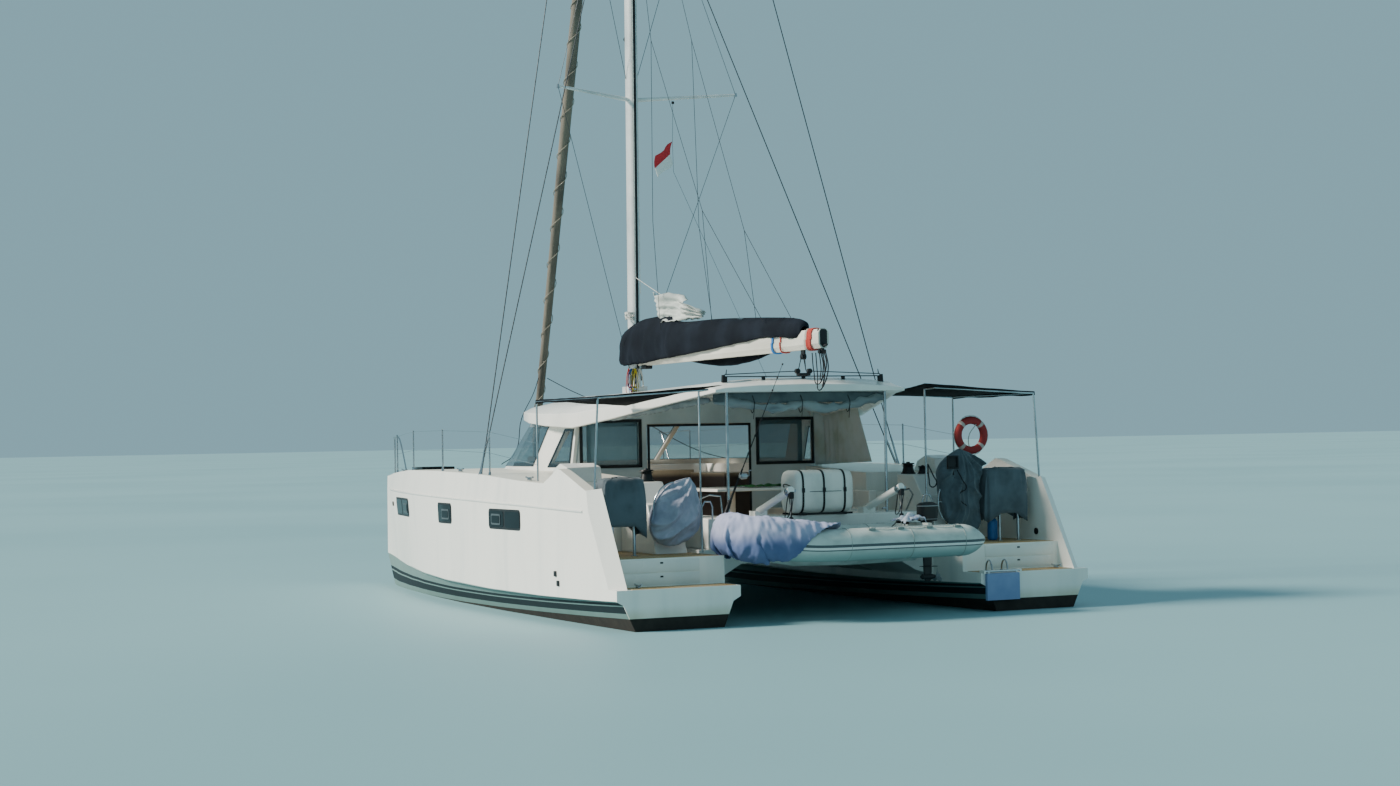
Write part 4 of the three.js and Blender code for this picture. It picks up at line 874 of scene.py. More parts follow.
outline += tuple((-w, h) for w, h in outline[-2::-1])
cover, rows = bmesh.new(), []
for a, b in zip(tops, lows):
    flap = b.z - 0.26 * sin(clamped((a.x + 4.5) / 4.3) * pi) ** 1.1
    row = []
    for w, h in outline:
        foot = b.z if w > 0 else flap
        row.append(Vector((a.x, w * a.y, foot + h * (a.z - foot))))
    rows.append(row)
loft(cover, rows, False, False)
finer(cover, 1)
crease(cover, 0.016, 0.42, (0.8, 1, 1.5), 2.3, slack)
crease(cover, 0.014, 0.14, (1.0, 1, 0.35), 5.1, slack)
eased(cover, 0.4)
made = sewn("sail_cover_cloth", cover, cover_cloth, 0.004, body=None, stands_for=["sail_cover"])
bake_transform(made)
zipper = bmesh.new()
taut(zipper, [Vector((a.x, 0, a.z + 0.004)) for a in tops[6:-14]], 0.006)
made = piece("cover_zip", zipper, black, None)
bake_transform(made)

# Head of the mainsail: stiff white cloth that stands out of the cover in folds, with a coil of rope
# on the collar beside it and the main halyard from its corner to the masthead.
sailcloth = coating("sailcloth", "ccd0ca", "aab1ad", scale=5, gloss=(0.6, 0.8), grain=200,
                    depth=0.0008)
head, rows = bmesh.new(), []
for k, high in enumerate((4.57, 4.50, 4.54, 4.50, 4.42, 4.36, 4.37, 4.30, 4.20)):
    t = k / 8
    base = Vector((0.16 - 1.30 * t, 0.10 * sin(5 * t), 4.10))
    tip = Vector((0.14 - 1.33 * t, 0.16 * sin(9.5 * t + 0.6), high))
    rows.append([base.lerp(tip, s / 7) + Vector((0, 0.035 * sin(3 * s + 6 * t), 0))
                 for s in range(8)])
loft(head, rows, False, False)
finer(head, 2, 0.6)
crease(head, 0.02, 0.12, (1, 1, 1), 8.2)
made = sewn("sail_head", head, sailcloth, 0.003, body="boom")
coil, route = bmesh.new(), []
for k in range(90):
    angle = 0.7 * k
    route.append(Vector((1.02 + 0.07 * cos(angle) + 0.02 * sin(1.7 * k),
                         0.13 + 0.06 * sin(angle),
                         4.20 + 0.11 * abs(sin(0.21 * k + 0.4)))))
taut(coil, smoothed(route, 3), 0.008)
piece("collar_coil", coil, white_rope)
lift = bmesh.new()
taut(lift, [(-0.2, 0, 4.42), on_mast(4.85, -0.15, 0.03), on_mast(18.5, -0.13, 0.03)], 0.005)
made = piece("main_halyard", lift, white_rope, None)
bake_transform(made)

# Courtesy flag: a small two-coloured cloth that hangs from its line under the starboard spreader,
# with a block at the top and the line tied off at the deck.
flag_cloth = Finish("flag_cloth", roughness=0.85)
x, y, z = flag_cloth.axes()
flag_cloth.set(base_color=flag_cloth.mix(z + 0.82 * y > 6.313, "f0efea", "cf2f38"))
flag_cloth.relief(flag_cloth.noise(300, 2.0), 0.0008)
flag, lines = bmesh.new(), bmesh.new()
loft(flag, [[Vector((0.9 - 0.05 * t + 0.03 * sin(4 * s),
                     -0.60 + 0.30 * t + 0.026 * sin(7 * t + 3 * s),
                     6.98 - 0.35 * s - 0.24 * t)) for s in (0, 0.25, 0.5, 0.75, 1)]
            for t in (0, 0.2, 0.4, 0.6, 0.8, 1)], False, False)
finer(flag, 2, 0.8)
made = sewn("courtesy_flag", flag, flag_cloth, 0.002)
taut(lines, [(0.98, -0.66, 7.62), (0.9, -0.605, 6.92), (0.87, -0.60, 6.5), (0.6, -2.2, 2.9),
             (-0.4, -3.3, 2.0)], 0.0025)
drum(lines, (0.98, -0.675, 7.60), (0.98, -0.645, 7.60), 0.022)
piece("flag_line", lines, rope_black)

# Lazy jacks and sheet: thin lines from the mast to both sides of the boom, and a tackle of black
# rope from the boom's end to the traveller. They lead from the boat to the boom.
jacks = bmesh.new()
for out, high, near, far, feet in (
    (0.16, (-0.06, 8.36), (0.0, 5.63), (-1.75, 5.62), (-0.21, -2.0, -3.61)),
    (-0.16, (-0.82, 8.25), (-0.95, 5.47), (-2.45, 5.28), (-1.36, -2.78, -3.87)),
):
    high, near, far = ((x, out, height) for x, height in (high, near, far))
    taut(jacks, [on_mast(12.3, -0.05, out * 0.6), high, near, (feet[0], out, 3.98)], 0.004)
    taut(jacks, [high, far, (feet[1], out, 3.96)], 0.004)
    taut(jacks, [far, (feet[2], out, 3.92)], 0.004)
long_edges = [e for e in jacks.edges if e.calc_length() > 0.6]
bmesh.ops.subdivide_edges(jacks, edges=long_edges, cuts=12)
made = piece("lazy_jacks", jacks, rope_black, None, 180)
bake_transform(made)
tackle = bmesh.new()
for step, out in ((0, 0.03), (0.05, -0.03), (-0.04, 0.0)):
    taut(tackle, [(-4.47 + step, out, 3.40), (-4.47 + step * 1.6, out * 2.6, 3.22)], 0.006)
for k, drop in enumerate((0.42, 0.50, 0.36, 0.46)):
    x, out = -4.84 - 0.045 * k, 0.03 - 0.03 * k
    loose(tackle, [(x + 0.06, out, 3.44), (x + 0.02, out, 3.44 - drop * 0.6),
                   (x - 0.06, 0.02, 3.44 - drop), (x - 0.15, -0.02, 3.44 - drop * 0.5),
                   (x - 0.12, 0, 3.46)], 0.008)
made = piece("main_sheet", tackle, rope_black, None, 180)
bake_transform(made)


# Cockpit: moulded benches and a white table on a pedestal, with a green woven mat left on it that
# lies in low waves.
def flat_cloth(across, along, centre, half_x, half_y):
    """A level sheet in small faces."""
    form = bmesh.new()
    matrix = Matrix.Translation(centre) @ Matrix.Diagonal((half_x, half_y, 1, 1))
    bmesh.ops.create_grid(form, x_segments=across, y_segments=along, size=1, matrix=matrix)
    return form


dressed("cockpit_benches", "cockpit_seating", gelcoat, edge=0.015)
dressed("lounge_bench", "cockpit_lounge", gelcoat, edge=0.015)
dressed("table_and_pedestal", "cockpit_table", gelcoat, sharp=35, edge=0.006)
green_weave = coating("green_weave", "2f7d3c", "1f5c33", scale=18, gloss=(0.8, 0.95), grain=220,
                      depth=0.002)
mat = flat_cloth(28, 40, (-3.0, -0.14, 1.652), 0.26, 0.36)
for v in mat.verts:
    v.co.z += 0.055 * abs(noise.noise(v.co * 7)) + 0.004
made = sewn("table_mat", mat, green_weave, 0.004)

# Fishing rod: a black tapered rod with ring guides, stood in a holder behind the port bench, and
# its steel reel with a crank.
rod, spool = bmesh.new(), bmesh.new()
foot, tip = Vector((-4.70, 1.245, 1.50)), Vector((-4.83, 0.50, 3.29))
reel = foot.lerp(tip, 0.20) + Vector((-0.05, 0, -0.02))
drum(rod, foot.lerp(tip, 0.2), tip, 0.009, 0.003, 10)
drum(rod, foot, foot.lerp(tip, 0.24), 0.017, 0.012, 12)
drum(rod, (-4.688, 1.32, 1.30), (-4.70, 1.24, 1.52), 0.028, 0.026, 16)
drum(spool, reel + Vector((0, -0.06, 0)), reel + Vector((0, 0.02, 0)), 0.042, 0.048, 24)
drum(spool, reel + Vector((0, 0.02, 0)), reel + Vector((0, 0.035, 0)), 0.05, 0.03, 24)
crank = ((-0.06, 0), (-0.10, 0), (-0.10, 0.07), (-0.14, 0.07))
tube(spool, [reel + Vector((0, a, b)) for a, b in crank], 0.007)
for share in (0.35, 0.48, 0.6, 0.71, 0.81, 0.9, 1.0):
    spot, half = foot.lerp(tip, share), (tip - foot) * 0.006
    drum(rod, spot - half, spot + half, 0.012)
piece("rod_reel", spool, steel)
piece("fishing_rod", rod, black)

# Step handrails: two small stainless hoops bolted beside the steps on each side, one along them and
# one across.
handrails = bmesh.new()
for out in outward.values():
    for rail in (
        ((-4.85, 1.72, 0.87), (-4.85, 1.72, 1.45), (-4.85, 1.68, 1.52), (-4.85, 1.60, 1.52),
         (-4.85, 1.57, 1.45), (-4.85, 1.57, 1.29)),
        ((-4.25, 1.66, 1.29), (-4.45, 1.66, 1.52), (-4.62, 1.50, 1.60), (-4.66, 1.36, 1.58),
         (-4.66, 1.33, 1.29)),
    ):
        tube(handrails, [(x, out * y, z) for x, y, z in rail], 0.0125)
piece("step_handrails", handrails, steel)


# Life raft: an off-white canister in two halves on a cradle, held by dark straps, with a rope grab
# at each end.
def boxy_ring(count, wide, high, power=0.5):
    return [boxy(2 * pi * k / count, wide, high, power) for k in range(count)]


raft_shell = coating("raft_shell", "e9e8e0", "cfd0c8", scale=3, gloss=(0.35, 0.5))
raft_x, raft_z, raft_wide, raft_high = -4.67, 1.61, 0.236, 0.284
canister, cradle, straps = bmesh.new(), bmesh.new(), bmesh.new()
rings = []
for along, size in (
    (0.37, 0.80), (0.366, 0.89), (0.355, 0.95), (0.335, 0.99), (0.31, 1.0), (0.10, 1.0),
    (-0.27, 1.0), (-0.43, 1.0), (-0.455, 0.99), (-0.475, 0.95), (-0.486, 0.89), (-0.49, 0.80),
):
    around = boxy_ring(48, raft_wide * size, raft_high * size)
    rings.append([Vector((raft_x + a, along, raft_z + b)) for a, b in around])
loft(canister, rings)
for spot in (0.24, -0.36):
    block(cradle, (-4.90, spot - 0.02, 1.30), (-4.44, spot + 0.02, 1.335), 0.004)
block(cradle, (-4.915, -0.46, 1.305), (-4.885, 0.34, 1.33), 0.004)
block(cradle, (-4.46, -0.46, 1.305), (-4.43, 0.34, 1.33), 0.004)
for spot in (0.27, -0.04, -0.35):
    rings = []
    for beside, grow in ((-0.014, 0.000), (-0.014, 0.006), (0.014, 0.006), (0.014, 0.000)):
        around = boxy_ring(40, raft_wide + grow, raft_high + grow)
        rings.append([Vector((raft_x + a, spot + beside, raft_z + b)) for a, b in around])
    loft(straps, rings, False)
    block(straps, (-4.925, spot - 0.02, 1.60), (-4.905, spot + 0.02, 1.66), 0.004)
for end in (0.36, -0.48):
    beyond = end + copysign(0.045, end)
    loose(straps, [(-4.80, end, 1.66), (-4.74, beyond, 1.70), (-4.60, beyond, 1.70),
                   (-4.54, end, 1.66)], 0.008)
seam = [Vector((raft_x + a, -0.065 + b, raft_z)) for a, b in boxy_ring(40, 0.240, 0.415)]
taut(straps, seam + seam[:1], 0.004)
piece("raft_canister", canister, raft_shell, sharp=30, stands_for=["life_raft"])
piece("raft_cradle", cradle, black)
piece("raft_straps", straps, black)

# Helms: a white moulded console and coaming pod on each side, with black self-tailing winches on
# the consoles.
winches = bmesh.new()
for side in outward:
    dressed("console_moulding_" + side, "helm_console_" + side, gelcoat, edge=0.015)
    dressed("pod_moulding_" + side, "helm_pod_" + side, gelcoat, edge=0.012)
for x, y, size in ((-3.88, 2.06, 0.17), (-3.72, -2.02, 0.17), (-3.88, -2.16, 0.12)):
    for low, high, wide, narrow in (
        (0, 0.12, 0.62, 0.60), (0.12, 0.6, 0.52, 0.40), (0.6, 0.7, 0.42, 0.56),
        (0.7, 0.78, 0.40, 0.40), (0.78, 0.9, 0.56, 0.50), (0.9, 1.0, 0.18, 0.14),
    ):
        drum(winches, (x, y, 1.785 + low * size), (x, y, 1.785 + high * size), wide * size,
             narrow * size, 28)
piece("helm_winches", winches, black)


# Wheel covers: slack cloth sacks over the wheels, grey to starboard and faded to lavender to port.
# Folds fan out from each cover's peak; inside are steel rims, spokes and shafts.
def woven(name, colour, worn, scale, **sockets):
    return coating(name, colour, worn, scale, (0.85, 0.95), 420, 0.0006, **sockets)


def closed(form, is_there):
    """Fills the hole that is there with faces that meet in its middle."""
    hole = [e for e in form.edges if e.is_boundary and is_there(e.verts[0].co)]
    bmesh.ops.poke(form, faces=bmesh.ops.edgeloop_fill(form, edges=hole)["faces"])
    bmesh.ops.recalc_face_normals(form, faces=form.faces)


def fan(form, peak, depth, often, lean, seed):
    """Raises folds on a cover's aft side, which fan out from its peak and lean to port below."""
    for v in form.verts:
        y, z = v.co.y - peak[0], peak[1] - v.co.z
        reach = hypot(y, z)
        sway = 0.35 * noise.noise(v.co * 2.5 + Vector((seed, 0, 0)))
        turned = atan2(y, z) - lean * 0.45 * reach + sway
        front = max(0.15, min(1, (-4.84 - v.co.x) / 0.10)) * min(1, reach / 0.28)
        v.co.x -= depth * front * (1 - 2 * abs(sin(often * turned)) ** 0.8)
        tilt = max(0, 0.8 * (v.co.y - 1.95) + 0.9 * (v.co.z - 1.50))
        v.co.x += lean * 0.07 * tilt * (v.co.x < -4.88)


slate = woven("slate_cloth", "56636b", "3f494f", 3.5, sheen_weight=0.2)
lavender = woven("lavender_cloth", "a9abba", "80859a", 3.0, sheen_weight=0.2)
port_outline = (
    # each point's y and z
    (1.89, 1.84), (1.81, 1.72), (1.76, 1.54), (1.74, 1.38), (1.77, 1.20), (1.86, 1.08),
    (2.02, 1.00), (2.20, 0.97), (2.37, 1.04), (2.45, 1.20), (2.43, 1.38), (2.36, 1.56),
    (2.25, 1.69), (2.12, 1.78), (1.99, 1.82),
)
starboard_outline = (
    (-2.15, 2.13), (-2.02, 2.06), (-1.90, 1.97), (-1.83, 1.85), (-1.83, 1.66), (-1.87, 1.42),
    (-1.94, 1.16), (-2.12, 1.00), (-2.34, 0.98), (-2.44, 1.12), (-2.45, 1.50), (-2.46, 1.77),
    (-2.52, 1.89), (-2.54, 1.95), (-2.42, 2.02), (-2.28, 2.08),
)
slices = (
    # x, and how much of the outline's size
    (-5.02, 0.10), (-5.02, 0.22), (-5.015, 0.33), (-5.01, 0.43), (-5.0, 0.53), (-4.99, 0.63),
    (-4.98, 0.72), (-4.965, 0.81), (-4.95, 0.89), (-4.93, 0.95), (-4.90, 0.99), (-4.87, 1.0),
    (-4.83, 0.99), (-4.79, 0.97), (-4.75, 0.93),
)
for side, outline, cloth, peak, lean in (
    ("port", port_outline, lavender, (1.86, 1.88), 1.0),
    ("starboard", starboard_outline, slate, (-2.14, 2.14), 0.2),
):
    cover = bmesh.new()
    ring = smoothed([(0, y, z) for y, z in outline + outline[:1]], 12)[:-1]
    middle = sum(ring, Vector()) / len(ring)
    loft(cover, [[middle + (p - middle) * size + Vector((at_x, 0, 0)) for p in ring]
                 for at_x, size in slices], False)
    closed(cover, lambda place: place.x < -4.97)
    finer(cover, 1)
    fan(cover, peak, 0.042, 8.5, lean, 1.7)
    fan(cover, peak, 0.012, 21.0, lean, 5.2)
    crease(cover, 0.005, 0.10, (1, 1.3, 0.8), 4.4)
    eased(cover, 0.3)
    made = sewn("wheel_cover_cloth_" + side, cover, cloth, 0.003,
                stands_for=["wheel_cover_" + side])
hubs, wheel_out = bmesh.new(), 2.11
for out in outward.values():
    drum(hubs, (-4.80, out * wheel_out, 1.385), (-4.42, out * wheel_out, 1.385), 0.03)
    turns = [2 * pi * k / 36 for k in range(37)]
    rim = [(-4.86, out * (wheel_out + 0.30 * cos(a)), 1.42 + 0.36 * sin(a)) for a in turns]
    tube(hubs, rim, 0.012)
    for k in range(6):
        drum(hubs, (-4.86, out * wheel_out, 1.40), rim[6 * k], 0.008)
piece("wheels_and_shafts", hubs, steel)


# Helm seats: slatted seats on steel legs, each under a slack fitted cover of the grey cloth, whose
# hem hangs lower at its corners.
def draped(form, holders, frames, held=(), slack=0.4):
    """Lets cloth fall on its holders under its own weight and keeps its shape at rest."""
    made = []
    for source in [form] + holders:
        mesh = bpy.data.meshes.new("falling")
        source.to_mesh(mesh)
        made.append(bpy.data.objects.new("falling", mesh))
        bpy.context.collection.objects.link(made[-1])
    cloth = made[0]
    for holder in made[1:]:
        holder.modifiers.new("hold", "COLLISION")
        holder.collision.thickness_outer = 0.006
        holder.collision.cloth_friction = 12
    fall = cloth.modifiers.new("fall", "CLOTH")
    fall.settings.quality = 7
    fall.settings.mass = 0.25
    fall.settings.tension_stiffness = fall.settings.compression_stiffness = 18
    fall.settings.shear_stiffness = 6
    fall.settings.bending_stiffness = slack
    fall.settings.air_damping = 1.5
    fall.collision_settings.collision_quality = 3
    fall.collision_settings.distance_min = 0.006
    if held:
        pins = cloth.vertex_groups.new(name="held")
        pins.add(list(held), 1.0, "ADD")
        fall.settings.vertex_group_mass = "held"
    fall.point_cache.frame_end = frames
    scene = bpy.context.scene
    scene.gravity = (0, 0, -9.8)
    for at in range(1, frames + 1):
        scene.frame_set(at)
    shape = cloth.evaluated_get(bpy.context.evaluated_depsgraph_get()).data
    form.verts.ensure_lookup_table()
    for v, rested in zip(form.verts, shape.vertices):
        v.co = rested.co
    scene.frame_set(1)
    for thing in made:
        mesh = thing.data
        bpy.data.objects.remove(thing)
        bpy.data.meshes.remove(mesh)
    for holder in holders:
        holder.free()


seat_levels = (
    # height, and how much of the seat's size
    (1.87, 0.12), (1.87, 0.4), (1.87, 0.7), (1.865, 0.92), (1.84, 1.04), (1.79, 1.08),
    (1.73, 1.09), (1.67, 1.10), (1.61, 1.11), (1.55, 1.12), (1.49, 1.13), (1.43, 1.14),
    (1.37, 1.15), (1.31, 1.16),
)
for side, out in sides:
    cover, seat, legs = bmesh.new(), bmesh.new(), bmesh.new()
    middle_y, broad = (2.875, 1.0) if side == "port" else (-2.80, 1.12)
    rings = []
    for level, size in seat_levels:
        ring, drop = [], max(0, (1.80 - level) / 0.5)
        for a, b in boxy_ring(96, 0.165 * size, 0.30 * size, 0.45):
            if side == "port":
                longer = 0.16 * drop * max(0, 1 - abs(b + 0.26 * size) / 0.16)
            else:
                longer = 0.13 * drop * max(0, 1 - abs(abs(b) - 0.29) / 0.2)
            ring.append(Vector((-4.925 + a, middle_y + b * broad, level - longer)))
        rings.append(ring)
    loft(cover, rings, False)
    closed(cover, lambda place: place.z > 1.8)
    half = 0.265 * broad
    block(seat, (-5.06, middle_y - half, 1.50), (-4.80, middle_y + half, 1.84), 0.04)
    for v in seat.verts:
        v.co.x += 0.03 * (v.co.z > 1.7)
    crease(cover, 0.008, 0.2, (1, 1, 0.6), 2.0 + out)
    draped(cover, [seat], 26)
    made = sewn("seat_cover_" + side, cover, slate, 0.003, stands_for=["helm_seat_" + side])
    for y in (2.72, 3.02):
        drum(legs, (-4.95, out * y, 0.862), (-4.95, out * y, 1.55), 0.022)
        drum(legs, (-4.95, out * y, 0.862), (-4.95, out * y, 0.875), 0.05)
    block(legs, (-5.05, out * 2.62, 1.50), (-4.82, out * 3.13, 1.54), 0.01)
    block(legs, (-4.85, out * 2.62, 1.50), (-4.82, out * 3.13, 1.80), 0.01)
    piece("seat_frame_" + side, legs, steel)

# Starboard helm's small things: a blue bottle stood between the seat's legs, a display in a black
# frame on a bent arm, and loops of black cable.
blue_paint = coating("blue_paint", "2f78c4", "2a66a6", scale=6, gloss=(0.3, 0.45))
bottle, screen, loops = bmesh.new(), bmesh.new(), bmesh.new()
for low, high, wide, narrow in ((0.868, 0.89, 0.055, 0.07), (0.89, 1.13, 0.07, 0.07),
                                (1.13, 1.18, 0.07, 0.035), (1.18, 1.22, 0.02, 0.02)):
    drum(bottle, (-4.80, -2.70, low), (-4.80, -2.70, high), wide, narrow, 24)
border(screen, -4.985, (-2.03, 1.88), (-1.90, 2.02), 0.02, 0.035)
block(screen, (-5.0, -2.045, 1.865), (-4.985, -1.885, 2.035), 0.004)
drum(screen, (-4.99, -1.965, 1.87), (-4.93, -2.03, 1.70), 0.012)
loose(loops, [(-4.76, -1.72, 1.93), (-4.79, -1.78, 1.78), (-4.79, -1.83, 1.66),
              (-4.78, -1.76, 1.62), (-4.78, -1.72, 1.74), (-4.76, -1.72, 1.93)], 0.009)
loose(loops, [(-5.0, -2.03, 1.85), (-5.03, -2.10, 1.70), (-5.02, -2.16, 1.60),
              (-5.02, -2.05, 1.52), (-5.02, -2.06, 1.44), (-5.0, -2.17, 1.36)], 0.008)
piece("blue_bottle", bottle, blue_paint, edge=0.004)
piece("helm_display", screen, black)
piece("hung_cables", loops, rope_black)

# Biminis: black cloth stretched on stainless frames over each helm, sagging a little between the
# rails and turned down in a hem.
canvas = woven("bimini_canvas", "101216", "202328", 2.5, specular_ior_level=0.1)
for side, out in sides:
    dressed("bimini_rails_" + side, "bimini_frame_" + side, steel, sharp=50)
    front_z, sag = (2.80, 0.08) if side == "port" else (2.90, 0.05)
    cloth, rows = bmesh.new(), []
    for i in range(25):
        s, row = i / 24, []
        belly = sin(pi * s)
        for j in range(17):
            t = j / 16
            aft = Vector((-5.085, 1.50, 3.018)).lerp(Vector((-5.085, 3.245, 2.893)), t)
            front = Vector((-2.945, 1.93, front_z)).lerp(Vector((-2.945, 3.245, 2.893)), t)
            spot = aft.lerp(front, s)
            spot.z -= sag * belly * sin(pi * t) - 0.006 * noise.noise(spot * 5)
            spot.y += 0.05 * belly * (1 - t)
            spot.y *= out
            row.append(spot)
        hem = row[-1] + Vector((0, out * 0.006, -0.05 - 0.006 * sin(14 * s)))
        rows.append(row + [hem])
    loft(cloth, rows, False, False)
    made = sewn("bimini_canvas_" + side, cloth, canvas, 0.003,
                stands_for=["bimini_cloth_" + side])

# Lifebuoy: a closed-cell ring in red cloth with white bands, hung on a steel post at the starboard
# helm, with a grab line round it.
buoy_y, buoy_z = -2.61, 2.31
buoy = Finish("lifebuoy_cloth")
x, y, z = buoy.axes()
turned = z.sum("ARCTAN2", z - buoy_z, y - buoy_y)
bands = abs(turned.every(pi / 2) - 0.5) < 0.07
post = z < 2.045
weave = buoy.noise(60, 4.0)
red_cloth = buoy.mix(weave, "bd3a3a", "93302f")
banded = buoy.mix(bands * (0.6 + 0.4 * weave), red_cloth, "d6cdc4")
buoy.set(base_color=buoy.mix(post, banded, "c0c4c8"), roughness=0.8 - 0.5 * post, metallic=post)
buoy.relief(weave * 0.4 + bands * 0.6, 0.002)
dressed("lifebuoy_ring", "lifebuoy", buoy, sharp=50)
grab = bmesh.new()
for k in range(4):
    line = []
    for s in range(7):
        a, wide = pi / 4 + pi / 2 * (k + s / 6), 0.262 + 0.012 * sin(pi * s / 6)
        line.append((-4.44, buoy_y + wide * cos(a), buoy_z + wide * sin(a)))
    loose(grab, line, 0.005)
loose(grab, [(-4.40, -2.61, 2.10), (-4.47, -2.56, 2.30), (-4.50, -2.66, 2.46)], 0.007)
piece("lifebuoy_lines", grab, white_rope)

# Davits: two white painted arms bolted to the bridgedeck's aft edge, each with a steel collar and a
# black block at its tip, from which the dinghy hangs.
davit_out = 0.81
tackles, collars, falls = bmesh.new(), bmesh.new(), bmesh.new()
for side, out in sides:
    dressed("davit_arm_" + side, "davit_" + side, gelcoat, sharp=40, edge=0.004)
    arm_y = out * davit_out
    root, tip = Vector((-4.70, arm_y, 1.37)), Vector((-5.555, arm_y, 1.645))
    drum(collars, root.lerp(tip, 0.93), root.lerp(tip, 1.0), 0.052)
    drum(collars, tip - Vector((0.02, 0.075, 0)), tip - Vector((0.02, -0.075, 0)), 0.018)
    sheave = tip + Vector((-0.045, 0, -0.045))
    pin = Vector((0, 0.02, 0))
    drum(tackles, sheave - pin, sheave + pin, 0.034)
    block(tackles, tip + Vector((-0.075, -0.028, -0.10)), tip + Vector((-0.015, 0.028, -0.01)),
          0.008)
    drum(tackles, (-5.59, arm_y - 0.02, 1.27), (-5.59, arm_y + 0.02, 1.27), 0.03)
    block(tackles, (-5.61, arm_y - 0.025, 1.24), (-5.57, arm_y + 0.025, 1.31), 0.008)
    for step in (-0.02, 0.0, 0.02):
        taut(falls, [(-5.60 + step, arm_y + step, 1.57), (-5.59 + step, arm_y - step, 1.29)], 0.006)
    loose(falls, [(-5.60, arm_y, 1.56), (-5.66, arm_y + 0.04, 1.42), (-5.62, arm_y + 0.09, 1.30),
                  (-5.55, arm_y + 0.05, 1.42), (-5.52, arm_y, 1.60)], 0.007)
    for end in (-5.95, -5.22):
        taut(falls, [(-5.59, arm_y, 1.26), (end, out * 0.72, 1.0)], 0.006)
piece("davit_collars", collars, steel)
piece("davit_blocks", tackles, black)
piece("davit_falls", falls, rope_black)


# Dinghy: a pale inflated tube in welded fabric with a dark rubbing strake round it, on a moulded
# shell, with a grab line, seams, rubber patches and a thwart.
dinghy_x, tube_z, tube_wide, bend_y, bow_long, bow_rise = -5.6, 0.96, 0.205, 0.6, 1.04, 0.11


def tube_place(off, along):
    """A place on the tube's middle line, which rises towards the bow."""
    rise = bow_rise * max(0, (along - bend_y) / bow_long) ** 2
    return Vector((dinghy_x - off, along, tube_z + rise))


def girth(t):
    """The tube's radius: full along its length and drawn in at its two stern cones."""
    along = whole[round(t * (len(whole) - 1))].y
    share = clamped((along + 1.71) / 0.34)
    return tube_wide * (0.16 + 0.84 * sin(share * pi / 2) ** 0.8)


fabric = Finish("tube_fabric", coat_weight=0.1)
x, y, z = fabric.axes()
rise = (y - bend_y) / bow_long
level = z - tube_z - (rise > 0) * rise * rise * bow_rise
outside = (abs(x - dinghy_x) > 0.60).either(y > 1.35)
strake = (level.within(-0.022, 0.012) + level.within(-0.066, -0.052)) * outside
gap = level.within(-0.052, -0.022) * outside
dust = fabric.noise(3, 5.0, (1, 1, 2))
pale = fabric.mix(fabric.step(dust, 0.35, 0.8), "c9d1cb", "a3aca6")
# Painted shade: the tube is painted teal-grey towards its bottom, where it lies in shade.
pale = fabric.mix(fabric.step(z, 0.95, 0.80), pale, "8ea5a2")
pale = fabric.mix(gap, pale, "dfe4df")
fabric.set(base_color=fabric.mix(strake, pale, "4a5459"), roughness=0.42 + 0.25 * dust)
fabric.relief(fabric.noise(420, 1.0) * 0.15 + strake, 0.0035)
half = [tube_place(off, along) for off, along in (
    (0.545, -1.71), (0.545, -1.68), (0.545, -1.56), (0.545, -1.40), (0.545, -0.8), (0.545, -0.1),
    (0.545, 0.6), (0.500, 1.08), (0.385, 1.38), (0.20, 1.58))]
other_half = [Vector((2 * dinghy_x - p.x, p.y, p.z)) for p in reversed(half)]
whole = smoothed(half + [tube_place(0, 1.64)] + other_half, 6)
skin, patches, line, thwart = bmesh.new(), bmesh.new(), bmesh.new(), bmesh.new()
loft(skin, rings_along(whole, girth, 32))
for off in (-0.62, 0.62):
    spots, knots = [-1.25 + 0.42 * k for k in range(4)], []
    for spot in spots:
        block(patches, (dinghy_x + off - 0.045, spot - 0.05, 1.135),
              (dinghy_x + off + 0.045, spot + 0.05, 1.162), 0.008)
    for near, far in zip(spots, spots[1:]):
        knots += [(dinghy_x + off, near, 1.167), (dinghy_x + off * 1.04, (near + far) / 2, 1.158)]
    loose(line, knots + [(dinghy_x + off, spots[-1], 1.167)], 0.007)
for spot in (-1.32, -0.55, 0.35):
    for off in (-0.545, 0.545):
        turns = [2 * pi * k / 40 for k in range(41)]
        taut(patches, [Vector((dinghy_x + off + 0.2065 * cos(a), spot,
                               tube_z + 0.2065 * sin(a))) for a in turns], 0.004)
block(thwart, (-5.94, -0.42, 1.09), (-5.26, -0.16, 1.12), 0.01)
shell_paint = coating("dinghy_shell", "cfd5cf", "a9b1ab", scale=4, gloss=(0.3, 0.5))
patch_rubber = coating("patch_rubber", "8f9894", "7b8480", scale=8, gloss=(0.5, 0.7))
thwart_paint = coating("thwart", "c2c8c4", "9da5a0", scale=6, gloss=(0.4, 0.6))
piece("inflated_tube", skin, fabric, sharp=60, stands_for=["dinghy_tube"])
dressed("dinghy_shell", "dinghy_hull", shell_paint, edge=0.008)
piece("tube_patches", patches, patch_rubber)
piece("grab_lines", line, white_rope)
piece("dinghy_thwart", thwart, thwart_paint)

# Bow cover: a cloth thrown over the dinghy's bow, with painted light on its top and painted shade
# below, tight over the tube, sagging between its sides and hanging below it in folds, with a
# slanting aft edge.
corners = (
    (-5.60, 0.42), (-5.98, 0.34), (-6.16, 0.42), (-6.36, 0.86), (-6.62, 1.22), (-6.70, 1.60),
    (-6.56, 1.98), (-6.22, 2.20), (-5.75, 2.26), (-5.30, 2.22), (-4.85, 2.02), (-4.66, 1.66),
    (-4.62, 1.20), (-4.80, 0.86), (-5.04, 0.52),
)
rim = smoothed([(*corner, 1.31) for corner in corners + corners[:1]], 8)[:-1]
middle = Vector((-5.62, 1.30, 1.31))


def bearing(place):
    return atan2(place.y - middle.y, place.x - middle.x)


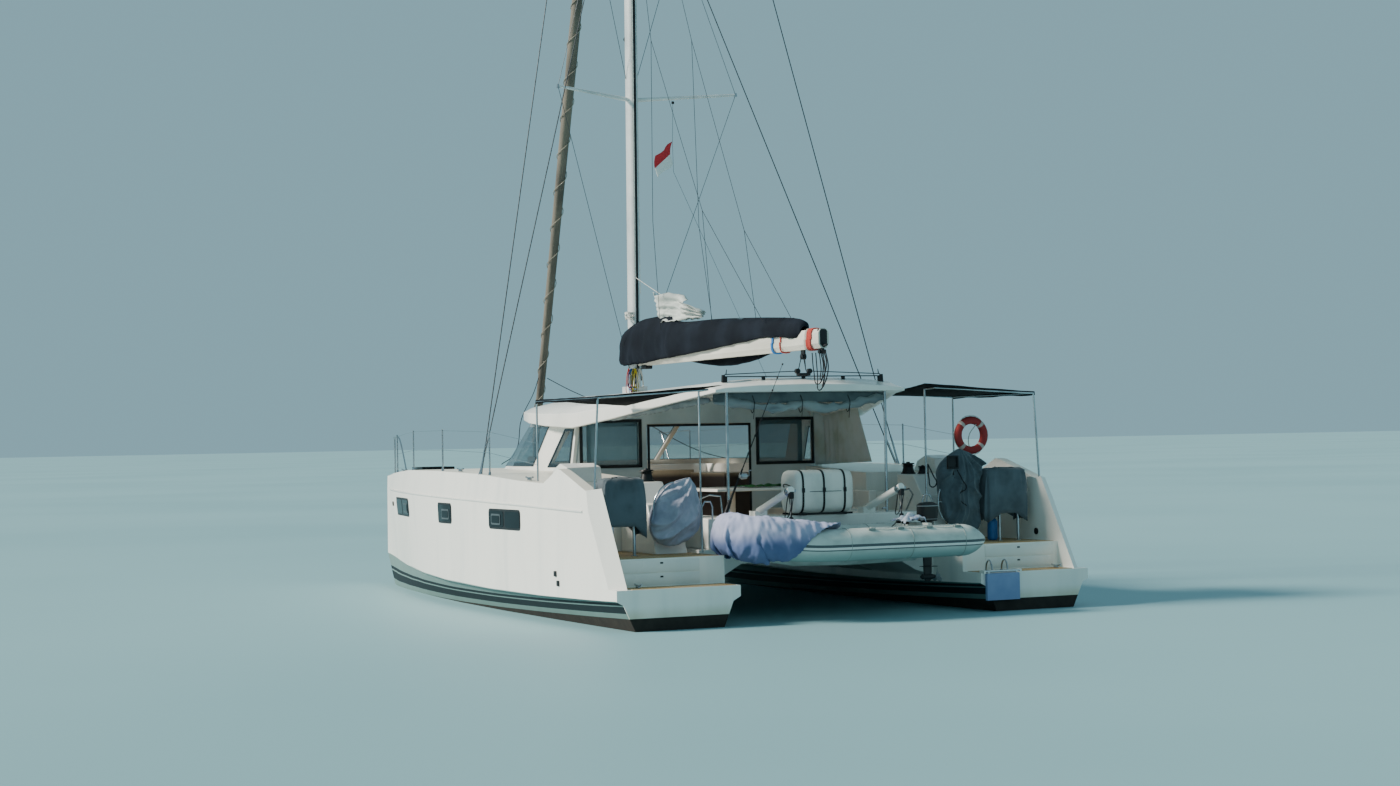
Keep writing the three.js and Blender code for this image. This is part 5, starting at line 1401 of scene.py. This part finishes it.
def nearest_way(place):
    """How much further out the cloth's edge is than a place, on the same bearing."""
    reach = min(reaches, key=lambda r: abs(r[0] - bearing(place)))[1]
    return reach / max(0.001, (place - middle).length)


reaches = sorted((bearing(p), (p - middle).length) for p in rim)
bow_cloth, holder = flat_cloth(52, 48, (-5.66, 1.30, 1.31), 1.06, 0.98), bmesh.new()
edge_at = {v: nearest_way(v.co) for v in bow_cloth.verts}
beyond = [v for v in bow_cloth.verts if edge_at[v] < 1]
bmesh.ops.delete(bow_cloth, geom=beyond, context="VERTS")
for v in bow_cloth.verts:
    if v.is_boundary:
        v.co = middle + (v.co - middle) * edge_at[v]
    rise = bow_rise * max(0, (min(v.co.y, 1.64) - bend_y) / bow_long) ** 2
    v.co.z = 1.178 + rise + 0.008 * noise.noise(v.co * 4)
loft(holder, rings_along(whole[::2], girth, 12))
block(holder, (-6.0, -1.2, 0.86), (-5.2, 1.25, 1.02))
bow_cloth.verts.index_update()
pinned = [v.index for v in bow_cloth.verts if min((v.co - p).xy.length for p in whole) < 0.022]
draped(bow_cloth, [holder], 45, held=pinned, slack=0.25)
eased(bow_cloth, 0.2)
over_tube = 0.215
for v in bow_cloth.verts:
    near = min(whole, key=lambda p: (p - v.co).xy.length)
    hang = near.z - v.co.z
    away = (v.co - near).xy
    if hang > 0 and away.dot((near - Vector((dinghy_x, 0.9, 0))).xy) > 0:
        wide = over_tube + 0.6 * max(0, min(0.08, away.length - over_tube))
        away.normalize()
        turned = 1.9 * tanh(hang / over_tube / 1.9)
        v.co = near + Vector((*(away * wide * cos(turned)), -wide * sin(turned)))
finer(bow_cloth, 1)
for v in bow_cloth.verts:
    over = clamped((v.co.z - 1.02) / 0.16)
    v.co.z += 0.10 * over * over * min(1, max(0.5, (v.co.y + 0.2) / 1.2)) * (v.co.x < -5.3)
crease(bow_cloth, 0.016, 0.20, (0.9, 1.6, 0.6), 1.4)
crease(bow_cloth, 0.009, 0.09, (0.7, 1.5, 0.5), 6.1)
eased(bow_cloth, 0.2)
dense, least = smoothed(whole, 3), 0.222
for v in bow_cloth.verts:
    near = min(dense, key=lambda p: (p - v.co).length_squared)
    if (v.co - near).length < least:
        v.co = near + (v.co - near).normalized() * least
cover_lit_and_shaded = Finish("cover_painted_light_and_shade", roughness=0.9, specular_ior_level=0.3)
x, y, z = cover_lit_and_shaded.axes()
patchy = cover_lit_and_shaded.noise(3.5, 5.0)
# Painted light and shade: the cloth is painted lighter high up and darker lower down; below holds
# the painted-shade colours and above the painted-light ones.
painted_light_share = cover_lit_and_shaded.step(z + 0.10 * patchy, 1.02, 1.26)
below, above = cover_lit_and_shaded.mix(patchy, "43557f", "6c7aa0"), cover_lit_and_shaded.mix(patchy, "b9bcd4", "9a9dbd")
cover_lit_and_shaded.set(base_color=cover_lit_and_shaded.mix(painted_light_share, below, above))
cover_lit_and_shaded.relief(cover_lit_and_shaded.noise(380, 4.0), 0.0008)
made = sewn("dinghy_bow_cover", bow_cloth, cover_lit_and_shaded, 0.003, stands_for=["dinghy_cover"])

# Outboard: a black cowl over a black leg clamped on the dinghy's transom, with pale lines round the
# cowl, a propeller and a tiller.
cowl = Finish("outboard_black", coat_weight=0.15, specular_ior_level=0.35)
x, y, z = cowl.axes()
pale_line = z.within(1.392, 1.402).either(z.within(1.222, 1.228))
scuff = cowl.noise(8, 5.0)
cowl.set(base_color=cowl.mix(pale_line, cowl.mix(scuff, "0c0d0f", "212326"), "9aa0a3"))
cowl.set(roughness=0.28 + 0.3 * scuff)
cowl.relief(cowl.noise(200, 2.0), 0.0003)
motor, tiller = bmesh.new(), bmesh.new()
for middle_y, power, levels in (
    # height, half-width and half-length of the cowl, and then of the leg
    (-1.195, 0.55, ((1.195, 0.075, 0.105), (1.205, 0.092, 0.125), (1.228, 0.096, 0.130),
                    (1.300, 0.104, 0.134), (1.385, 0.102, 0.130), (1.392, 0.106, 0.134),
                    (1.402, 0.106, 0.134), (1.420, 0.092, 0.120), (1.440, 0.068, 0.092),
                    (1.449, 0.035, 0.050))),
    (-1.18, 0.9, ((0.412, 0.006, 0.035), (0.44, 0.010, 0.055), (0.55, 0.026, 0.062),
                  (0.66, 0.030, 0.064), (0.95, 0.040, 0.068), (1.10, 0.052, 0.076),
                  (1.20, 0.062, 0.085))),
):
    loft(motor, [[Vector((dinghy_x + a, middle_y + b, level))
                  for a, b in boxy_ring(32, wide, long, power)] for level, wide, long in levels])
for start, stop, wide, narrow in ((-1.07, -1.10, 0.012, 0.034), (-1.10, -1.24, 0.034, 0.036),
                                  (-1.24, -1.288, 0.036, 0.022)):
    drum(motor, (dinghy_x, start, 0.47), (dinghy_x, stop, 0.47), wide, narrow, 24)
block(motor, (-5.66, -1.30, 0.60), (-5.54, -1.09, 0.608), 0.003)
block(motor, (-5.625, -1.11, 1.05), (-5.575, -1.06, 1.14), 0.006)
drum(tiller, (-5.56, -1.08, 1.16), (-5.50, -0.78, 1.20), 0.02, 0.017)
piece("outboard_motor", motor, cowl, "outboard", 38, stands_for=["outboard"])
dressed("outboard_screw", "outboard_propeller", drive_grey, "outboard_propeller", 40)
piece("tiller", tiller, black, "outboard")

# Thrown cloth: a small pale rag with faded blue patches, dropped in a heap on the tube and the
# thwart beside the tiller.
heap = Vector((-5.70, -0.86, 1.20))
rag_cloth = coating("thrown_cloth", "d4d8df", "6f7fa6", scale=12, gloss=(0.85, 0.95), grain=300)
rag = flat_cloth(24, 24, heap, 0.17, 0.17)
for v in rag.verts:
    lumps = 0.09 * abs(noise.noise(v.co * 9))
    v.co.z += lumps - 0.55 * max(0, (v.co - heap).length - 0.07) ** 1.2 + 0.05
    v.co.z = max(v.co.z, 1.125)
crease(rag, 0.022, 0.08, (1, 1, 1), 3.3)
made = sewn("thrown_cloth", rag, rag_cloth, 0.003)


# Rails: stainless stanchions screwed along each deck edge, with two wire lifelines through them and
# a bent pulpit on each bow.
def deck_edge(side, x):
    """The deck's outer edge at x: its place out from the centreline and its height."""
    for height in (1.93, 1.88, 1.83, 1.78, 1.7):
        hit = on_side(side, x, height)
        if hit and abs(hit.y) > 2.3:
            break
    edge_y = hit.y - outward[side] * 0.07
    top = hull_sides[side].ray_cast(Vector((x, edge_y, 4)), Vector((0, 0, -1)))[0]
    return Vector((x, edge_y, top.z))


def above(place, height):
    return place + Vector((0, 0, height))


rails, wires = bmesh.new(), bmesh.new()
for side, out in sides:
    feet = [deck_edge(side, spot) for spot in (-1.35, 0.9, 2.95, 4.9)]
    for foot in feet:
        drum(rails, foot, above(foot, 0.62), 0.0125)
        drum(rails, foot, above(foot, 0.05), 0.022, 0.016)
    bow, inner = deck_edge(side, 5.72), Vector((5.66, out * 2.42, 0))
    inner.z = bow.z
    corner = bow + Vector((-0.1, 0, 0.63))
    pulpit = [above(feet[-1], 0.62), corner, bow.lerp(inner, 0.5) + Vector((0.06, 0, 0.63)),
              inner + Vector((-0.12, 0, 0.60)), inner + Vector((-0.5, 0, 0.0))]
    tube(rails, smoothed(pulpit, 6), 0.0125)
    drum(rails, bow - Vector((0.1, 0, 0)), corner, 0.0125)
    aft = Vector((-2.97, out * 3.26, 2.0))
    for height in (0.60, 0.31):
        taut(wires, [above(aft, height - 0.28)] + [above(foot, height) for foot in feet], 0.0035)
piece("stanchions_and_pulpits", rails, steel)
piece("lifelines", wires, steel)


# Cleats: cast stainless, each with two horns on a block, bolted in three places along each deck
# edge and on each stern platform.
def cleat(foot, tip, bend, base, radius):
    """A cleat whose tips, bends and base reach this far fore and aft of its foot."""
    horns = ((-tip, 0.05), (-bend, 0.04), (bend, 0.04), (tip, 0.05))
    block(cleats, foot + Vector((-base, -0.018, 0)), foot + Vector((base, 0.018, 0.035)), 0.008)
    tube(cleats, [foot + Vector((x, 0, height)) for x, height in horns], radius, True)


cleats = bmesh.new()
for side, out in sides:
    for spot in (4.45, 0.2, -2.75):
        cleat(deck_edge(side, spot) - Vector((0, out * 0.07, 0.004)), 0.13, 0.06, 0.05, 0.012)
    cleat(Vector((-5.80, out * 3.05, 0.512)), 0.10, 0.05, 0.04, 0.011)
piece("cleats", cleats, steel)

# Deck hatches: dark panes that hinge up, each in a flat black frame with two hinge plates.
# The frames move with the panes.
for side, out in sides:
    dressed("hatch_pane_" + side, "deck_hatch_" + side, pane, "hatch_" + side, 30, 0.006)
    rim = bmesh.new()
    for x0, y0, x1, y1 in ((3.332, 2.222, 3.375, 2.758), (3.825, 2.222, 3.868, 2.758),
                           (3.332, 2.222, 3.868, 2.262), (3.332, 2.718, 3.868, 2.758)):
        block(rim, (x0, out * y0, 1.955), (x1, out * y1, 1.968), 0.003)
    for spot in (2.38, 2.60):
        block(rim, (3.34, out * (spot - 0.02), 1.965), (3.42, out * (spot + 0.02), 1.972), 0.003)
    piece("hatch_frame_" + side, rim, black, "hatch_" + side)

# Anchor: galvanised steel, a bent shank with two flat flukes, stowed on the bow beam's roller.
# Its head points forward over the beam.
galvanised = coating("galvanised", "9aa0a2", "7c8386", scale=20, gloss=(0.45, 0.6), metallic=0.9)
anchor = bmesh.new()
drum(anchor, (5.45, 0, 1.70), (5.86, 0, 1.60), 0.016)
for out in outward.values():
    fluke = ((5.90, 0, 1.56), (5.70, out * 0.14, 1.44), (5.50, out * 0.03, 1.40), (5.62, 0, 1.46))
    fluke = [Vector(p) for p in fluke]
    loft(anchor, [fluke, [above(p, 0.012) for p in fluke]])
tube(anchor, [(5.86, 0, 1.60), (5.80, 0, 1.50), (5.62, 0, 1.46)], 0.014)
piece("anchor", anchor, galvanised)

# Boarding ladder: steel sides and treads that fold down off the starboard platform, with a padded
# blue cover on the outside, and two steel handrails beside it.
pad = Finish("ladder_and_pad")
x, y, z = pad.axes()
cloth = z < 0.5005
blue_pad = pad.mix(pad.noise(6, 4.0), "8fa3c8", "7489b4")
pad.set(base_color=pad.mix(cloth, "ced2d6", blue_pad), roughness=0.25 + 0.6 * cloth)
pad.set(metallic=1 - cloth)
pad.relief(pad.noise(300, 2.0), 0.0005)
dressed("folded_ladder", "boarding_ladder", pad, "ladder", 35, 0.004)
hoops, feet = bmesh.new(), bmesh.new()
aft, fore = -5.905, -5.755
for y in (-1.98, -2.22):
    turns = [pi * k / 12 for k in range(13)]
    arch = [(-5.83 - 0.075 * cos(a), y, 0.53 + 0.13 * sin(a)) for a in turns]
    tube(hoops, [(aft, y, 0.512)] + arch + [(fore, y, 0.512)], 0.011)
    for x in (aft, fore):
        drum(feet, (x, y, 0.514), (x, y, 0.53), 0.026, 0.022)
piece("platform_hoops", hoops, steel)
piece("hoop_feet", feet, black)

# Wing vents: round black plastic caps pressed into the inner side of each stern wing.
# They let air to the engines.
vents = bmesh.new()
for side, out in sides:
    for x, z in ((-4.45, 1.36), (-5.05, 0.98)):
        hit = hull_sides[side].ray_cast(Vector((x, out * 2.5, z)), Vector((0, out, 0)))[0]
        if hit:
            drum(vents, hit - Vector((0, out * 0.012, 0)), hit + Vector((0, out * 0.01, 0)), 0.045)
piece("wing_vents", vents, black)
